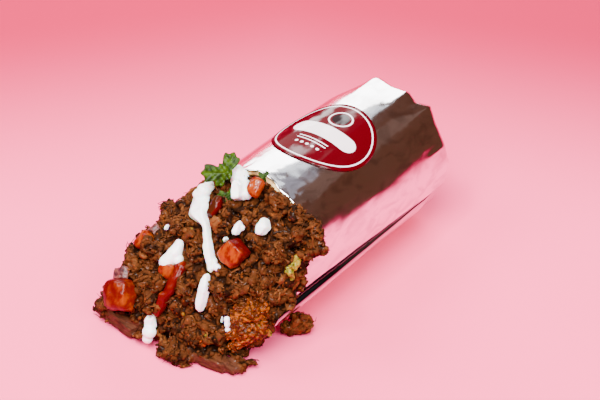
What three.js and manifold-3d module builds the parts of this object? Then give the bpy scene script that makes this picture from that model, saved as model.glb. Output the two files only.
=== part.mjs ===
// A foil-wrapped burrito lying on its side, with its open end piled with shredded beef.
//
// Units are millimetres and +Z is up. The roll lies along Y: its folded end points to +Y, and its
// open end, with the filling, points to -Y. The origin is on the surface the burrito lies on, under
// the middle of the whole object.
//
// A wheat tortilla lines the foil, and the beef runs right through the roll and swells out of the
// mouth into a sloping heap. Sour cream, diced tomato, onion, lettuce, coriander and a clump of
// seasoned rice sit in pockets of that heap. A round paper label is stuck on top of the foil.

import * as THREE from 'three';
import { mergeVertices } from 'three/addons/utils/BufferGeometryUtils.js';
import Module from 'manifold-3d';

const wasm = await Module();
wasm.setup();

// ---- driving dimensions ------------------------------------------------------------------------

const ROLL_RADIUS = 35.5;          // outside of the foil
const AXIS_HEIGHT = 34.5;          // less than the radius, so the underside is a flat strip
const FOIL_WALL = 0.5;             // several layers of kitchen foil
const TORTILLA_WALL = 2.6;         // two turns of tortilla pressed together
const GAP = 0.3;                   // kept between meshes that touch
const FOIL_RIPPLE = 0.4;           // how far the foil waves in and out

const MOUTH_Y = -43;               // the foil's open edge, at the height of the axis
const MOUTH_SLANT = 8.5;           // the edge is this much further back on top, and forward below
const TORTILLA_SHOWS = 3;          // how far the tortilla reaches past the foil
const FAR_END_Y = 70;              // the folded end
const FAR_EDGE_ROUND = 6;          // rounding where the wall turns into the folded end
const SHOULDER = [1.5, 1.8];       // half way round that edge: how far in from the wall, and back
const PLEATS = 7;                  // folds of foil that meet in the middle of the folded end
const PLEAT_DEPTH = 1.6;
const END_DISH = 1.2;              // how far the middle of the folded end is pressed in
const END_TAPER = 3.5;             // the tortilla and the filling narrow by this much at that end
const END_TAPER_LENGTH = 15;

const LABEL_RADIUS = 25.4;         // a two-inch round label
const LABEL_THICKNESS = 0.35;
const LABEL_Y = 11;

const tortillaOuter = ROLL_RADIUS - FOIL_WALL - 2 * FOIL_RIPPLE - GAP;
const tortillaInner = tortillaOuter - TORTILLA_WALL;
const fillingRadius = tortillaInner - GAP;
const fillingLift = FOIL_WALL + TORTILLA_WALL + 3 * GAP;

// The heap's face is a flat oval that leans back and turns a little to the right. Its rim is given
// by points across it and up it, from its middle.
const degrees = Math.PI / 180;
const FACE_MIDDLE = [-5, -67, 33];
const FACE_LEAN = 36 * degrees;
const FACE_TURN = 14 * degrees;
const FACE_RIM = [
  [43, 14], [36, 29], [18, 39], [-3, 34], [-17, 23], [-33, 6], [-45, -13],
  [-49, -27], [-35, -36], [-10, -37], [12, -39], [22, -32], [35, -12],
];
const DOME_HEIGHT = 9;             // how far the face bulges out of its rim
const SIDE_BULGE = 3;              // how far the heap's sides bulge between the mouth and the rim
const HEAP_SWELL = 1.6;            // broad lumps of the heap's surface
const HEAP_SIDES = 32;             // points round the filling
const LIP_PAST_FOIL = 1.5;         // how far the heap swells over the edge of the mouth
const LOWER_RIGHT = -50 * degrees; // where the heap draws in and leaves the foil's edge bare
const DRAWN_IN = 7;                // how far it draws in there
const CLEAR_OF_FLOOR = 0.4;        // the beef hangs just clear, so that the foil takes the weight

// ---- colours and finishes ----------------------------------------------------------------------

const finish = (color, roughness, metalness = 0) =>
  new THREE.MeshStandardMaterial({ color, roughness, metalness });
const FINISHES = {
  foil: finish(0xc9c6c6, 0.12, 1),
  tortilla: finish(0xd9b980, 0.75),
  beef: finish(0x6b4128, 0.45),
  rice: finish(0xb4601c, 0.5),
  tomato: finish(0xbe2410, 0.2),
  onion: finish(0xb98a86, 0.25),
  lettuce: finish(0x9fae4e, 0.45),
  coriander: finish(0x4f7a1c, 0.5),
  cream: finish(0xf2f4f6, 0.25),
  label: finish(0xa50018, 0.25),
};

// ---- random numbers and waves ------------------------------------------------------------------

// A small seeded generator, so that the heap comes out the same each time.
function seeded(seed) {
  let state = seed;
  const draw = () => {
    state = (state * 1664525 + 1013904223) % 4294967296;
    return state / 4294967296;
  };
  draw.between = (low, high) => low + (high - low) * draw();
  draw.direction = () => {
    const height = draw.between(-1, 1);
    const turn = draw.between(0, 2 * Math.PI);
    const flat = Math.sqrt(1 - height * height);
    return new THREE.Vector3(flat * Math.cos(turn), flat * Math.sin(turn), height);
  };
  return draw;
}

// Smooth lumps between -1 and 1 that repeat about every `size` millimetres.
function lumps(point, size, phase = 0) {
  const k = 2 * Math.PI / size;
  const { x, y, z } = point;
  return (
    Math.sin(k * (x + 0.6 * y) + phase)
    + Math.sin(k * (0.9 * z - 0.5 * x) + 1.7 * phase + 1.3)
    + Math.sin(k * (0.8 * y + 0.7 * z) + 2.3 * phase + 4.1)
  ) / 3;
}

// ---- solids from rings -------------------------------------------------------------------------

// A closed geometry from rings of points, each ring with the same number, and a point at each end.
function skin(firstPole, rings, lastPole) {
  const count = rings[0].length;
  const points = [firstPole, ...rings.flat(), lastPole];
  const last = points.length - 1;
  const faces = [];
  for (let i = 0; i < count; i += 1) {
    const next = (i + 1) % count;
    faces.push(0, 1 + next, 1 + i);
    for (let ring = 0; ring < rings.length - 1; ring += 1) {
      const a = 1 + ring * count;
      const b = a + count;
      faces.push(a + i, a + next, b + i, a + next, b + next, b + i);
    }
    const end = 1 + (rings.length - 1) * count;
    faces.push(end + i, end + next, last);
  }
  return facingOut(points, faces);
}

// A closed geometry from faces that are all wound alike, turned over where they point inwards.
function facingOut(points, faces) {
  let volume = 0;
  for (let i = 0; i < faces.length; i += 3) {
    const [a, b, c] = [points[faces[i]], points[faces[i + 1]], points[faces[i + 2]]];
    volume += a.dot(b.clone().cross(c));
  }
  if (volume < 0) {
    for (let i = 0; i < faces.length; i += 3) [faces[i], faces[i + 1]] = [faces[i + 1], faces[i]];
  }
  const geometry = new THREE.BufferGeometry();
  const coordinates = points.flatMap((point) => point.toArray());
  geometry.setAttribute('position', new THREE.Float32BufferAttribute(coordinates, 3));
  geometry.setIndex(faces);
  return geometry;
}

// A geometry as a solid that can be joined and cut, and back again.
function solidOf(geometry) {
  return new wasm.Manifold(new wasm.Mesh({
    numProp: 3,
    vertProperties: new Float32Array(geometry.attributes.position.array),
    triVerts: new Uint32Array(geometry.index.array),
  }));
}

// The largest closed body of a solid, without the scraps and sealed bubbles that joining can leave.
function mainBody(solid) {
  const bodies = solid.decompose();
  return bodies.reduce((best, body) => (body.volume() > best.volume() ? body : best));
}

function geometryOf(solid) {
  const mesh = solid.getMesh();
  const geometry = new THREE.BufferGeometry();
  geometry.setAttribute('position', new THREE.Float32BufferAttribute(mesh.vertProperties, 3));
  geometry.setIndex(Array.from(mesh.triVerts));
  return geometry;
}

// A copy of a template whose points are each moved by `change`.
function shapeFrom(template, change) {
  const geometry = template.clone();
  const position = geometry.attributes.position;
  const point = new THREE.Vector3();
  for (let i = 0; i < position.count; i += 1) {
    change(point.fromBufferAttribute(position, i));
    position.setXYZ(i, point.x, point.y, point.z);
  }
  return geometry;
}

// A three.js shape with only its positions, and its seam vertices merged.
function bare(geometry) {
  geometry.deleteAttribute('normal');
  geometry.deleteAttribute('uv');
  return mergeVertices(geometry, 1e-4);
}

const LUMP = bare(new THREE.IcosahedronGeometry(1, 1));
const CRUMB = bare(new THREE.IcosahedronGeometry(1, 0));
const BLOB = shapeFrom(bare(new THREE.BoxGeometry(2, 2, 2, 2, 2, 2)), (p) => p.normalize());

// ---- the foil ----------------------------------------------------------------------------------

const FOIL_SIDES = 36;

// The foil's outside radius: long soft waves, a little fatter half way along.
function foilRadius(turn, y) {
  const belly = 0.5 * Math.cos((y - 10) / 60);
  const wave = Math.sin(3 * turn + y / 21) + 0.6 * Math.sin(5 * turn - y / 13 + 2);
  return ROLL_RADIUS - 0.5 + belly + FOIL_RIPPLE * wave / 1.6;
}

// The foil's torn edge, slanted and crinkled.
function mouthEdge(turn) {
  const crinkle = 0.9 * Math.sin(4 * turn + 1) + 0.7 * Math.sin(9 * turn);
  return MOUTH_Y + MOUTH_SLANT * Math.sin(turn) + crinkle;
}

// A point of the roll at a turn about its axis, kept above the floor by `lift`.
function onRoll(turn, radius, y, lift) {
  const z = Math.max(AXIS_HEIGHT + radius * Math.sin(turn), lift);
  return new THREE.Vector3(radius * Math.cos(turn), y, z);
}

function ring(sides, pointAt) {
  return Array.from({ length: sides }, (_, i) => pointAt(2 * Math.PI * i / sides));
}

// The folded end is a shallow fan of pleats that meet off the middle of the roll.
function foldedEnd(turn, share, inset) {
  const towardsWall = Math.sin(Math.PI * Math.min(share * 1.15, 1));
  const pleat = PLEAT_DEPTH * Math.abs(Math.sin(PLEATS / 2 * turn + 0.8)) * towardsWall;
  const radius = (ROLL_RADIUS - FAR_EDGE_ROUND / 2 - inset) * share;
  return onRoll(turn, radius, FAR_END_Y - inset - pleat - END_DISH * (1 - share), inset);
}

function foilShell() {
  const farStart = FAR_END_Y - FAR_EDGE_ROUND;
  const steps = [0, 0.12, 0.27, 0.42, 0.57, 0.72, 0.86, 1];
  const wall = (inset) => [
    ...steps.map((share) => ring(FOIL_SIDES, (turn) => {
      const y = THREE.MathUtils.lerp(mouthEdge(turn), farStart, share);
      return onRoll(turn, foilRadius(turn, y) - inset, y, inset);
    })),
    ring(FOIL_SIDES, (turn) => {
      const y = FAR_END_Y - SHOULDER[1] - inset;
      return onRoll(turn, foilRadius(turn, y) - SHOULDER[0] - inset, y, inset);
    }),
    ...[0.97, 0.7, 0.35].map((share) => ring(FOIL_SIDES, (turn) => foldedEnd(turn, share, inset))),
  ];
  const pole = (inset) => new THREE.Vector3(0, FAR_END_Y - inset - END_DISH, AXIS_HEIGHT);
  return skin(pole(0), [...wall(0).reverse(), ...wall(FOIL_WALL)], pole(FOIL_WALL));
}

// ---- the tortilla ------------------------------------------------------------------------------

const TORTILLA_SIDES = 32;

function tortillaEdge(turn) {
  const frill = 0.8 * Math.sin(6 * turn) + 0.6 * Math.sin(11 * turn + 2);
  return MOUTH_Y - TORTILLA_SHOWS + MOUTH_SLANT * Math.sin(turn) + frill * 0.7;
}

function tortillaShell() {
  const farEnd = FAR_END_Y - FAR_EDGE_ROUND - 0.5;
  const wall = (radius, end) => [
    ...[0, 0.06, 0.5, 1].map((share) => ring(TORTILLA_SIDES, (turn) => {
      const y = THREE.MathUtils.lerp(tortillaEdge(turn), end - END_TAPER_LENGTH, share);
      return onRoll(turn, radius, y, AXIS_HEIGHT - radius);
    })),
    ring(TORTILLA_SIDES, (turn) => onRoll(turn, radius - END_TAPER, end, 0)),
    ring(TORTILLA_SIDES, (turn) => onRoll(turn, radius * 0.5, end, 0)),
  ];
  const outerLift = FOIL_WALL + GAP;
  const innerLift = outerLift + TORTILLA_WALL;
  const raise = (rings, lift) => rings.map((points) => points.map((p) => p.setZ(Math.max(p.z, lift))));
  const outside = raise(wall(tortillaOuter, farEnd), outerLift);
  const inside = raise(wall(tortillaInner, farEnd - TORTILLA_WALL), innerLift);
  const pole = (y) => new THREE.Vector3(0, y, AXIS_HEIGHT);
  return skin(pole(farEnd), [...outside.reverse(), ...inside], pole(farEnd - TORTILLA_WALL));
}

// ---- the bare heap of beef ---------------------------------------------------------------------

const heapMiddle = new THREE.Vector3(...FACE_MIDDLE).add(new THREE.Vector3(0, 4, -4));

// The face has its own frame: across it, up it and straight out of it.
const face = {
  middle: new THREE.Vector3(...FACE_MIDDLE),
  across: new THREE.Vector3(Math.cos(FACE_TURN), Math.sin(FACE_TURN), 0),
  out: new THREE.Vector3(
    Math.sin(FACE_TURN) * Math.cos(FACE_LEAN),
    -Math.cos(FACE_TURN) * Math.cos(FACE_LEAN),
    Math.sin(FACE_LEAN),
  ),
};
face.up = face.out.clone().cross(face.across);

const facePoint = (u, v, out = 0) => face.middle.clone()
  .addScaledVector(face.across, u)
  .addScaledVector(face.up, v)
  .addScaledVector(face.out, out);

// The rim's distance from the face's middle, in the direction `turn`.
const rimCorners = FACE_RIM.map(([u, v]) => new THREE.Vector3(u, v, 0));
const rimPoints = new THREE.CatmullRomCurve3(rimCorners, true).getPoints(400);
function rimReach(turn) {
  const way = new THREE.Vector3(Math.cos(turn), Math.sin(turn), 0);
  return rimPoints.reduce((best, p) => (p.angleTo(way) < best.angleTo(way) ? p : best)).length();
}

// The beef without its lumps: the roll inside the tortilla, the sloping sides and the domed face.
function bareHeap() {
  const inside = (y, slant, radius = fillingRadius) => ring(HEAP_SIDES, (turn) => onRoll(
    turn, radius, y + slant * Math.sin(turn), fillingLift));
  const mouth = ring(HEAP_SIDES, (turn) => onRoll(
    turn, fillingRadius, tortillaEdge(turn) - 2 * GAP, fillingLift + GAP));
  const lipY = MOUTH_Y - TORTILLA_SHOWS - 2.2;
  const lip = ring(HEAP_SIDES, (turn) => {
    const drawnIn = DRAWN_IN * Math.pow(Math.max(0, Math.cos(turn - LOWER_RIGHT)), 4);
    const y = lipY + MOUTH_SLANT * Math.sin(turn);
    return onRoll(turn, ROLL_RADIUS + LIP_PAST_FOIL - drawnIn, y, CLEAR_OF_FLOOR);
  });
  const rim = ring(HEAP_SIDES, (turn) => {
    const reach = rimReach(turn);
    return facePoint(reach * Math.cos(turn), reach * Math.sin(turn));
  });
  const between = (share) => lip.map((point, i) => {
    const mixed = point.clone().lerp(rim[i], share);
    const away = mixed.clone().sub(heapMiddle).normalize();
    return mixed.addScaledVector(away, SIDE_BULGE * Math.sin(Math.PI * share));
  });
  const dome = (share) => ring(HEAP_SIDES, (turn) => {
    const reach = rimReach(turn) * share;
    const rise = DOME_HEIGHT * Math.pow(1 - share * share, 0.65);
    return facePoint(reach * Math.cos(turn), reach * Math.sin(turn), rise);
  });
  const heap = [lip, between(0.33), between(0.67), rim, ...[0.88, 0.7, 0.48, 0.24].map(dome)];
  heap.slice(1).flat().forEach((point) => {
    const away = point.clone().sub(heapMiddle).normalize();
    point.addScaledVector(away, HEAP_SWELL * (lumps(point, 26) + 0.7 * lumps(point, 13, 2)));
    point.z = Math.max(point.z, CLEAR_OF_FLOOR);
  });
  const farEnd = FAR_END_Y - FAR_EDGE_ROUND - TORTILLA_WALL - 1;
  const rings = [
    inside(farEnd, 0, fillingRadius - END_TAPER),
    inside(farEnd - END_TAPER_LENGTH, 0),
    inside(MOUTH_Y + 15, MOUTH_SLANT),
    mouth,
    ...heap,
  ];
  return skin(new THREE.Vector3(0, farEnd, AXIS_HEIGHT), rings, facePoint(0, 0, DOME_HEIGHT));
}

const heapGeometry = bareHeap();
const heapMesh = new THREE.Mesh(heapGeometry, new THREE.MeshBasicMaterial({ side: THREE.DoubleSide }));
const caster = new THREE.Raycaster();

// Where a straight line meets the bare heap first, with the heap's outward direction there.
function meetHeap(from, towards) {
  caster.set(from, towards);
  const hit = caster.intersectObject(heapMesh)[0];
  if (!hit) return null;
  const out = hit.face.normal.clone();
  if (out.dot(towards) > 0) out.negate();
  return { point: hit.point, out };
}

// The place on the heap's face that is `u` mm across and `v` mm up from its middle.
function onFace(u, v) {
  const hit = meetHeap(facePoint(u, v, 80), face.out.clone().negate());
  if (!hit) throw new Error(`nothing on the face at ${u}, ${v}`);
  return hit;
}

// A frame that stands on the heap: its third axis points out, and its first is turned by `turn`.
function standing(out, turn) {
  const along = face.across.clone().addScaledVector(out, -face.across.dot(out)).normalize();
  const side = out.clone().cross(along);
  const first = along.clone().multiplyScalar(Math.cos(turn)).addScaledVector(side, Math.sin(turn));
  return new THREE.Matrix4().makeBasis(first, out.clone().cross(first), out);
}

// ---- pieces that lie in the heap ---------------------------------------------------------------

// Every topping is made twice: as it is, and grown by a little more than the gap, to cut its pocket
// in the beef.
const POCKET = GAP + 0.15;
const toppings = [];

// A topping that is `soft` is cut round the ones that were added before it.
function addTopping(name, material, shapeGrownBy, soft = false) {
  const pocket = shapeGrownBy(POCKET);
  let geometry = shapeGrownBy(0);
  if (soft) {
    const cut = toppings.reduce((solid, other) => solid.subtract(solidOf(other.pocket)), solidOf(geometry));
    geometry = geometryOf(mainBody(cut));
  }
  toppings.push({ name, material, geometry, pocket });
}

const CUBE = bare(new THREE.BoxGeometry(2, 2, 2, 3, 2, 2));

// A diced piece: a block with worn corners, taller at one end, and a little uneven.
function dice({ at, turn, tip = 0, size, rise, rounding = 0.5, phase }) {
  return (grow) => {
    const { point, out } = onFace(...at);
    const frame = standing(out, turn * degrees)
      .multiply(new THREE.Matrix4().makeRotationY(tip * degrees))
      .setPosition(point.clone().addScaledVector(out, rise));
    const half = size.map((length) => length / 2 + grow);
    return shapeFrom(CUBE, (p) => {
      const worn = p.clone().multiplyScalar(1.28 / p.length());
      p.lerp(worn, rounding).multiplyScalar(1 + 0.1 * lumps(p, 2.7, phase));
      p.z *= 1 + 0.18 * p.x;
      p.set(p.x * half[0], p.y * half[1], p.z * half[2]).applyMatrix4(frame);
    });
  };
}

// A run of sour cream along the face: each point of its path is across, up and half width.
const CREAM_SIDES = 6;
function drizzle({ path, height = 4, steps = 4, sink = 1.2 }) {
  return (grow) => {
    const curve = new THREE.CatmullRomCurve3(path.map((point) => new THREE.Vector3(...point)));
    const beyondEnd = Math.min(1, curve.getLength() * 0.08) + grow;
    const reach = (u, v, out) => {
      const { point } = onFace(u, v);
      return point.addScaledVector(face.out, out);
    };
    const rings = [];
    for (let i = 0; i <= steps; i += 1) {
      const share = 0.5 - 0.5 * Math.cos(Math.PI * (0.08 + 0.84 * i / steps));
      const here = curve.getPoint(share);
      const ahead = curve.getTangent(share).setZ(0).normalize();
      const taper = Math.pow(Math.sin(Math.PI * (0.1 + 0.8 * share)), 0.35);
      const half = here.z * taper + grow;
      const shift = grow * (share < 0.5 ? -1 : 1) * Math.abs(2 * share - 1);
      rings.push(ring(CREAM_SIDES, (turn) => {
        const sideways = half * Math.cos(turn);
        const rise = (turn < Math.PI ? height * taper + grow : sink + grow) * Math.sin(turn);
        const u = here.x - ahead.y * sideways + ahead.x * shift;
        const v = here.y + ahead.x * sideways + ahead.y * shift;
        return reach(u, v, rise);
      }));
    }
    const end = (share, sign) => {
      const here = curve.getPoint(share);
      const ahead = curve.getTangent(share).setZ(0).normalize().multiplyScalar(sign * beyondEnd);
      return reach(here.x + ahead.x, here.y + ahead.y, height * 0.15);
    };
    return skin(end(0, -1), rings, end(1, 1));
  };
}

// A leaf of three toothed lobes, cupped and waved: a thin solid that stands on the heap at its stalk.
const LEAF_HALF_THICKNESS = 0.3;
const LEAF_LOBES = 3;
const LEAF_WAVE = 0.12;
const LEAF_CUP = 0.25;
function leaf({ at, turn, rise, lean, size, points }) {
  return (grow) => {
    const { point, out } = onFace(...at);
    const frame = standing(out, turn * degrees)
      .multiply(new THREE.Matrix4().makeRotationX(lean * degrees))
      .setPosition(point.clone().addScaledVector(out, rise));
    const thick = LEAF_HALF_THICKNESS + grow;
    const outline = ring(points, (angle) => {
      const lobe = 0.62 + 0.38 * Math.cos(LEAF_LOBES * (angle - Math.PI / 2));
      const tooth = 0.1 * Math.cos(points / 2 * angle);
      const stalkSide = angle > 1.25 * Math.PI && angle < 1.75 * Math.PI;
      const reach = (lobe + tooth) * (stalkSide ? 0.55 : 1);
      return new THREE.Vector3(reach * Math.cos(angle), reach * Math.sin(angle), 0);
    });
    const place = (x, y, level, scale) => {
      const bend = size * (LEAF_WAVE * Math.sin(5 * x + 2 * y + 1) + LEAF_CUP * x * x);
      return new THREE.Vector3(x * scale, 0.5 * size + y * scale, bend + level).applyMatrix4(frame);
    };
    const sheet = (level) => [1, 0.55].map((share) => outline.map(({ x, y }) => place(
      x * share, y * share, level, size + 1.5 * grow / Math.hypot(x, y))));
    const centre = (level) => place(0, 0, level, size);
    const [frontEdge, frontMiddle] = sheet(thick);
    const [backEdge, backMiddle] = sheet(-thick);
    return skin(centre(thick), [frontMiddle, frontEdge, backEdge, backMiddle], centre(-thick));
  };
}

// A curled strip, such as a lettuce shred or a slice of onion.
const STRIP = bare(new THREE.BoxGeometry(2, 2, 2, 5, 1, 1));
const STRIP_CURL = 1.5;
function strip({ at, turn, rise, size }) {
  return (grow) => {
    const { point, out } = onFace(...at);
    const frame = standing(out, turn * degrees).setPosition(point.clone().addScaledVector(out, rise));
    const half = size.map((length) => length / 2 + grow);
    return shapeFrom(STRIP, (p) => {
      const along = p.x;
      p.set(p.x * half[0], p.y * half[1], p.z * half[2]);
      p.z += STRIP_CURL * (1 - along * along) + 0.4 * Math.sin(4 * along);
      p.y += 0.5 * Math.sin(3 * along);
      p.applyMatrix4(frame);
    });
  };
}

const TOMATOES = [
  { at: [-35.5, -21], turn: 12, tip: 6, size: [13.5, 13.5, 13], rise: 3 },
  { at: [13, 10.5], turn: 58, tip: -8, size: [13, 12, 10], rise: 3 },
  { at: [-15.5, -9], turn: 74, tip: 5, size: [8, 8.5, 7], rise: 2.8 },
  { at: [-18, -20.5], turn: 76, size: [12, 4, 4.5], rise: 3, rounding: 0.35 },
  { at: [15.5, 36], turn: 80, size: [10, 7.5, 7.5], rise: 3 },
  { at: [-31, 4], turn: 50, size: [10, 7, 6], rise: 3 },
  { at: [-0.5, 28], turn: 75, size: [10, 5, 5], rise: 2.5 },
];
TOMATOES.forEach((piece, i) => {
  addTopping(`tomato_${i + 1}`, FINISHES.tomato, dice({ ...piece, phase: i + 1 }));
});

const ONIONS = [
  { at: [-38, -10.5], turn: 10, rise: 4, size: [9, 6, 1.6] },
  { at: [-30, 11], turn: -35, rise: 2.5, size: [9, 5, 1.8] },
];
ONIONS.forEach((piece, i) => addTopping(`onion_${i + 1}`, FINISHES.onion, strip(piece)));

const LETTUCE = [
  { at: [38, 12], turn: 70, rise: 2.6, size: [10, 3, 1.2] },
  { at: [36, 3.5], turn: 110, rise: 2.2, size: [9, 2.6, 1.2] },
];
LETTUCE.forEach((piece, i) => addTopping(`lettuce_${i + 1}`, FINISHES.lettuce, strip(piece)));

const CORIANDER = [
  { at: [1, 41.5], turn: 5, rise: 4, lean: 45, size: 10, points: 26 },
  { at: [-2.5, 33], turn: -70, rise: 7, lean: 10, size: 5, points: 14 },
  { at: [20.5, 36], turn: -70, rise: 6, lean: 30, size: 4, points: 14 },
];
CORIANDER.forEach((piece, i) => addTopping(`coriander_${i + 1}`, FINISHES.coriander, leaf(piece)));

const DRIZZLES = [
  { path: [[4.8, 42.5, 3], [6.8, 37.5, 4], [8.5, 33, 3.6]], height: 9, sink: 1 },
  {
    path: [
      [-10.5, 33, 5], [-11, 29, 6.2], [-9.5, 24.5, 5.8], [-5, 20.5, 3.2],
      [-1.5, 15.5, 2.4], [0.5, 11, 2.9], [3, 6, 3], [5.5, 0.5, 2.6],
    ],
    steps: 12,
  },
  { path: [[-15, 8, 2], [-15, 4.5, 3.6], [-16, -0.5, 4.2], [-16.5, -4, 3]] },
  { path: [[4.5, -1.5, 2], [4.5, -6, 3], [4, -12, 3.2], [4, -18, 2.6]] },
  { path: [[-18, -25.5, 1.8], [-19, -30, 3.4], [-19, -34, 3]] },
  { path: [[22, 29, 1.8], [23, 25.5, 3.6], [22, 21.5, 3]] },
  { path: [[12.5, 25, 1.6], [12, 21.5, 2.5], [12, 18.5, 2]], steps: 3 },
  { path: [[7.5, 16.5, 1.2], [9, 14.8, 1.5]], height: 3, steps: 3 },
  { path: [[-23.5, 15, 1.1], [-23, 12.5, 1.4]], height: 3, steps: 3 },
  { path: [[13.5, -15, 1], [14, -20, 1.5]], height: 3, steps: 3 },
];
DRIZZLES.forEach((shape, i) => addTopping(`sour_cream_${i + 1}`, FINISHES.cream, drizzle(shape), true));

// A clump of seasoned rice: a bare core with grains fused on its upper side. The grown clump, which
// cuts the pocket, has no grains but leaves room for them.
const RICE_GRAINS = 17;
const RICE_HALF_SIZE = [13.5, 8, 6.5];
const GRAIN_HALF_SIZE = [2.6, 1.3, 1.3];
const GRAIN_ROOM = 2.4;
function riceClump(grow) {
  const random = seeded(31);
  const { point, out } = onFace(25, -22);
  const frame = standing(out, 70 * degrees).setPosition(point.clone().addScaledVector(out, 0.5));
  let clump = solidOf(shapeFrom(LUMP, (p) => {
    const room = grow + (grow > 0 && p.z > -0.1 ? GRAIN_ROOM : 0);
    const [x, y, z] = RICE_HALF_SIZE.map((half) => half + room);
    p.multiplyScalar(1 + 0.12 * lumps(p, 1.9, 5));
    p.set(p.x * x, p.y * y, p.z * z).applyMatrix4(frame);
  }));
  const grainCount = grow > 0 ? 0 : RICE_GRAINS;
  for (let i = 0; i < grainCount; i += 1) {
    const way = random.direction();
    way.z = Math.abs(way.z) * 0.7 + 0.3;
    const at = new THREE.Vector3(...RICE_HALF_SIZE).multiply(way.normalize()).multiplyScalar(0.92);
    clump = clump.add(solidOf(grain(at.applyMatrix4(frame), random, GRAIN_HALF_SIZE)));
  }
  return clump;
}

// A small rough grain or crumb, turned at random.
function grain(at, random, size) {
  const turned = new THREE.Matrix4().makeRotationFromEuler(
    new THREE.Euler(random.between(0, 6), random.between(0, 6), random.between(0, 6)));
  return shapeFrom(CRUMB, (p) => {
    p.multiplyScalar(random.between(0.85, 1.15));
    p.set(p.x * size[0], p.y * size[1], p.z * size[2]).applyMatrix4(turned).add(at);
  });
}

// ---- the shredded beef -------------------------------------------------------------------------

const FACE_LUMPS = 44;
const SIDE_LUMPS = 90;             // directions tried all round: about a quarter meet a side
const FACE_SHREDS = 18;
const FACE_CRUMBS = 16;
const SIDE_CRUMBS = 40;

const GOLDEN_TURN = Math.PI * (3 - Math.sqrt(5));

// `count` places spread evenly over the face, out to its rim.
function facePlaces(count, start) {
  return Array.from({ length: count }, (_, i) => {
    const turn = start + i * GOLDEN_TURN;
    const reach = 0.97 * rimReach(turn) * Math.sqrt((i + 0.5) / count);
    return onFace(reach * Math.cos(turn), reach * Math.sin(turn));
  });
}

// Places on the heap's sides, where lines from `count` even directions all round meet them. The
// lower right side keeps none near the mouth, so that the foil's edge is bare there.
function sidePlaces(count, start) {
  const places = [];
  for (let i = 0; i < count; i += 1) {
    const height = 1 - (2 * i + 1) / count;
    const turn = start + i * GOLDEN_TURN;
    const flat = Math.sqrt(1 - height * height);
    const way = new THREE.Vector3(flat * Math.cos(turn), flat * Math.sin(turn), height);
    const hit = meetHeap(heapMiddle.clone().addScaledVector(way, 120), way.clone().negate());
    const { x, y, z } = hit.point;
    const edge = MOUTH_Y - TORTILLA_SHOWS + MOUTH_SLANT * (z - AXIS_HEIGHT) / ROLL_RADIUS;
    const lowerRight = x > 12 && z < 36 && y > -63;
    const onSide = hit.out.dot(face.out) < 0.45;
    if (onSide && z > 3.5 && y < edge - 3 && !lowerRight) places.push(hit);
  }
  return places;
}

// How far a place is from the nearest point of a topping.
const toppingPoints = toppings.flatMap(({ geometry }) => {
  const { array } = geometry.attributes.position;
  return Array.from({ length: array.length / 3 }, (_, i) => new THREE.Vector3().fromArray(array, 3 * i));
});
function clearOfToppings(place) {
  return toppingPoints.reduce((least, p) => Math.min(least, p.distanceTo(place)), Infinity);
}

// A rounded lump of meat, half sunk in the heap, and smaller close to a topping.
function lumpOfBeef({ point, out }, random) {
  const room = Math.min(1, (clearOfToppings(point) + 2.5) / 8);
  const size = [random.between(6, 9.5), random.between(4.6, 6.6), random.between(3.8, 5.6)];
  const frame = standing(out, random.between(0, 2 * Math.PI))
    .setPosition(point.clone().addScaledVector(out, -size[2] * 0.2));
  const phase = random.between(0, 6);
  return shapeFrom(BLOB, (p) => {
    p.multiplyScalar(room * (1 + 0.16 * lumps(p, 1.4, phase)) * random.between(0.9, 1.1));
    p.set(p.x * size[0], p.y * size[1], p.z * size[2]).applyMatrix4(frame);
    p.z = Math.max(p.z, CLEAR_OF_FLOOR);
  });
}

// A torn strand: a flat tapered strip, bent along its length.
const STRAND = bare(new THREE.BoxGeometry(2, 2, 2, 2, 1, 1));
function shredOfBeef({ point, out }, random) {
  const size = [random.between(5, 9), random.between(1, 1.7), random.between(0.9, 1.4)];
  const bend = random.between(0.8, 2.2);
  const frame = standing(out, random.between(0, 2 * Math.PI))
    .multiply(new THREE.Matrix4().makeRotationY(random.between(-0.4, 0.4)))
    .setPosition(point.clone().addScaledVector(out, random.between(2.2, 4)));
  return shapeFrom(STRAND, (p) => {
    const taper = 1 - 0.45 * p.x * p.x;
    p.set(p.x * size[0], p.y * size[1] * taper, p.z * size[2] * taper - bend * p.x * p.x);
    p.applyMatrix4(frame);
    p.z = Math.max(p.z, CLEAR_OF_FLOOR);
  });
}

// The smooth slices that lie along the front, on the floor.
const SLAB = bare(new THREE.BoxGeometry(2, 2, 2, 4, 2, 1));
function sliceOfBeef({ middle, half, turn, tip, phase }) {
  const frame = new THREE.Matrix4()
    .makeRotationFromEuler(new THREE.Euler(0, tip * degrees, turn * degrees, 'ZYX'))
    .setPosition(new THREE.Vector3(...middle));
  return shapeFrom(SLAB, (p) => {
    const worn = p.clone().multiplyScalar(1.3 / p.length());
    p.lerp(worn, 0.5).multiplyScalar(1 + 0.12 * lumps(p, 1.9, phase));
    p.set(p.x * half[0], p.y * half[1] * (1 - 0.2 * p.x), p.z * half[2]).applyMatrix4(frame);
    p.z = Math.max(p.z, CLEAR_OF_FLOOR);
  });
}
const BEEF_SLICES = [
  { middle: [-36, -92, 5.2], half: [12, 4.5, 3.6], turn: -14, tip: 8, phase: 1 },
  { middle: [11, -86.5, 4], half: [12, 5.5, 3], turn: 4, tip: 4, phase: 3 },
  { middle: [23, -86, 3], half: [4.5, 2.2, 1.9], turn: -20, tip: 0, phase: 5 },
];

// Lumps that hang out past the rim, given by hand: over the foil on the right, and at the left tip.
const OVERHANGS = [
  { middle: [38.5, -44.5, 51], half: [6, 5, 5.5] },
  { middle: [35.5, -50, 46], half: [5.5, 4.5, 5.5] },
  { middle: [32, -46, 56], half: [6, 4.5, 5] },
];

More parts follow.
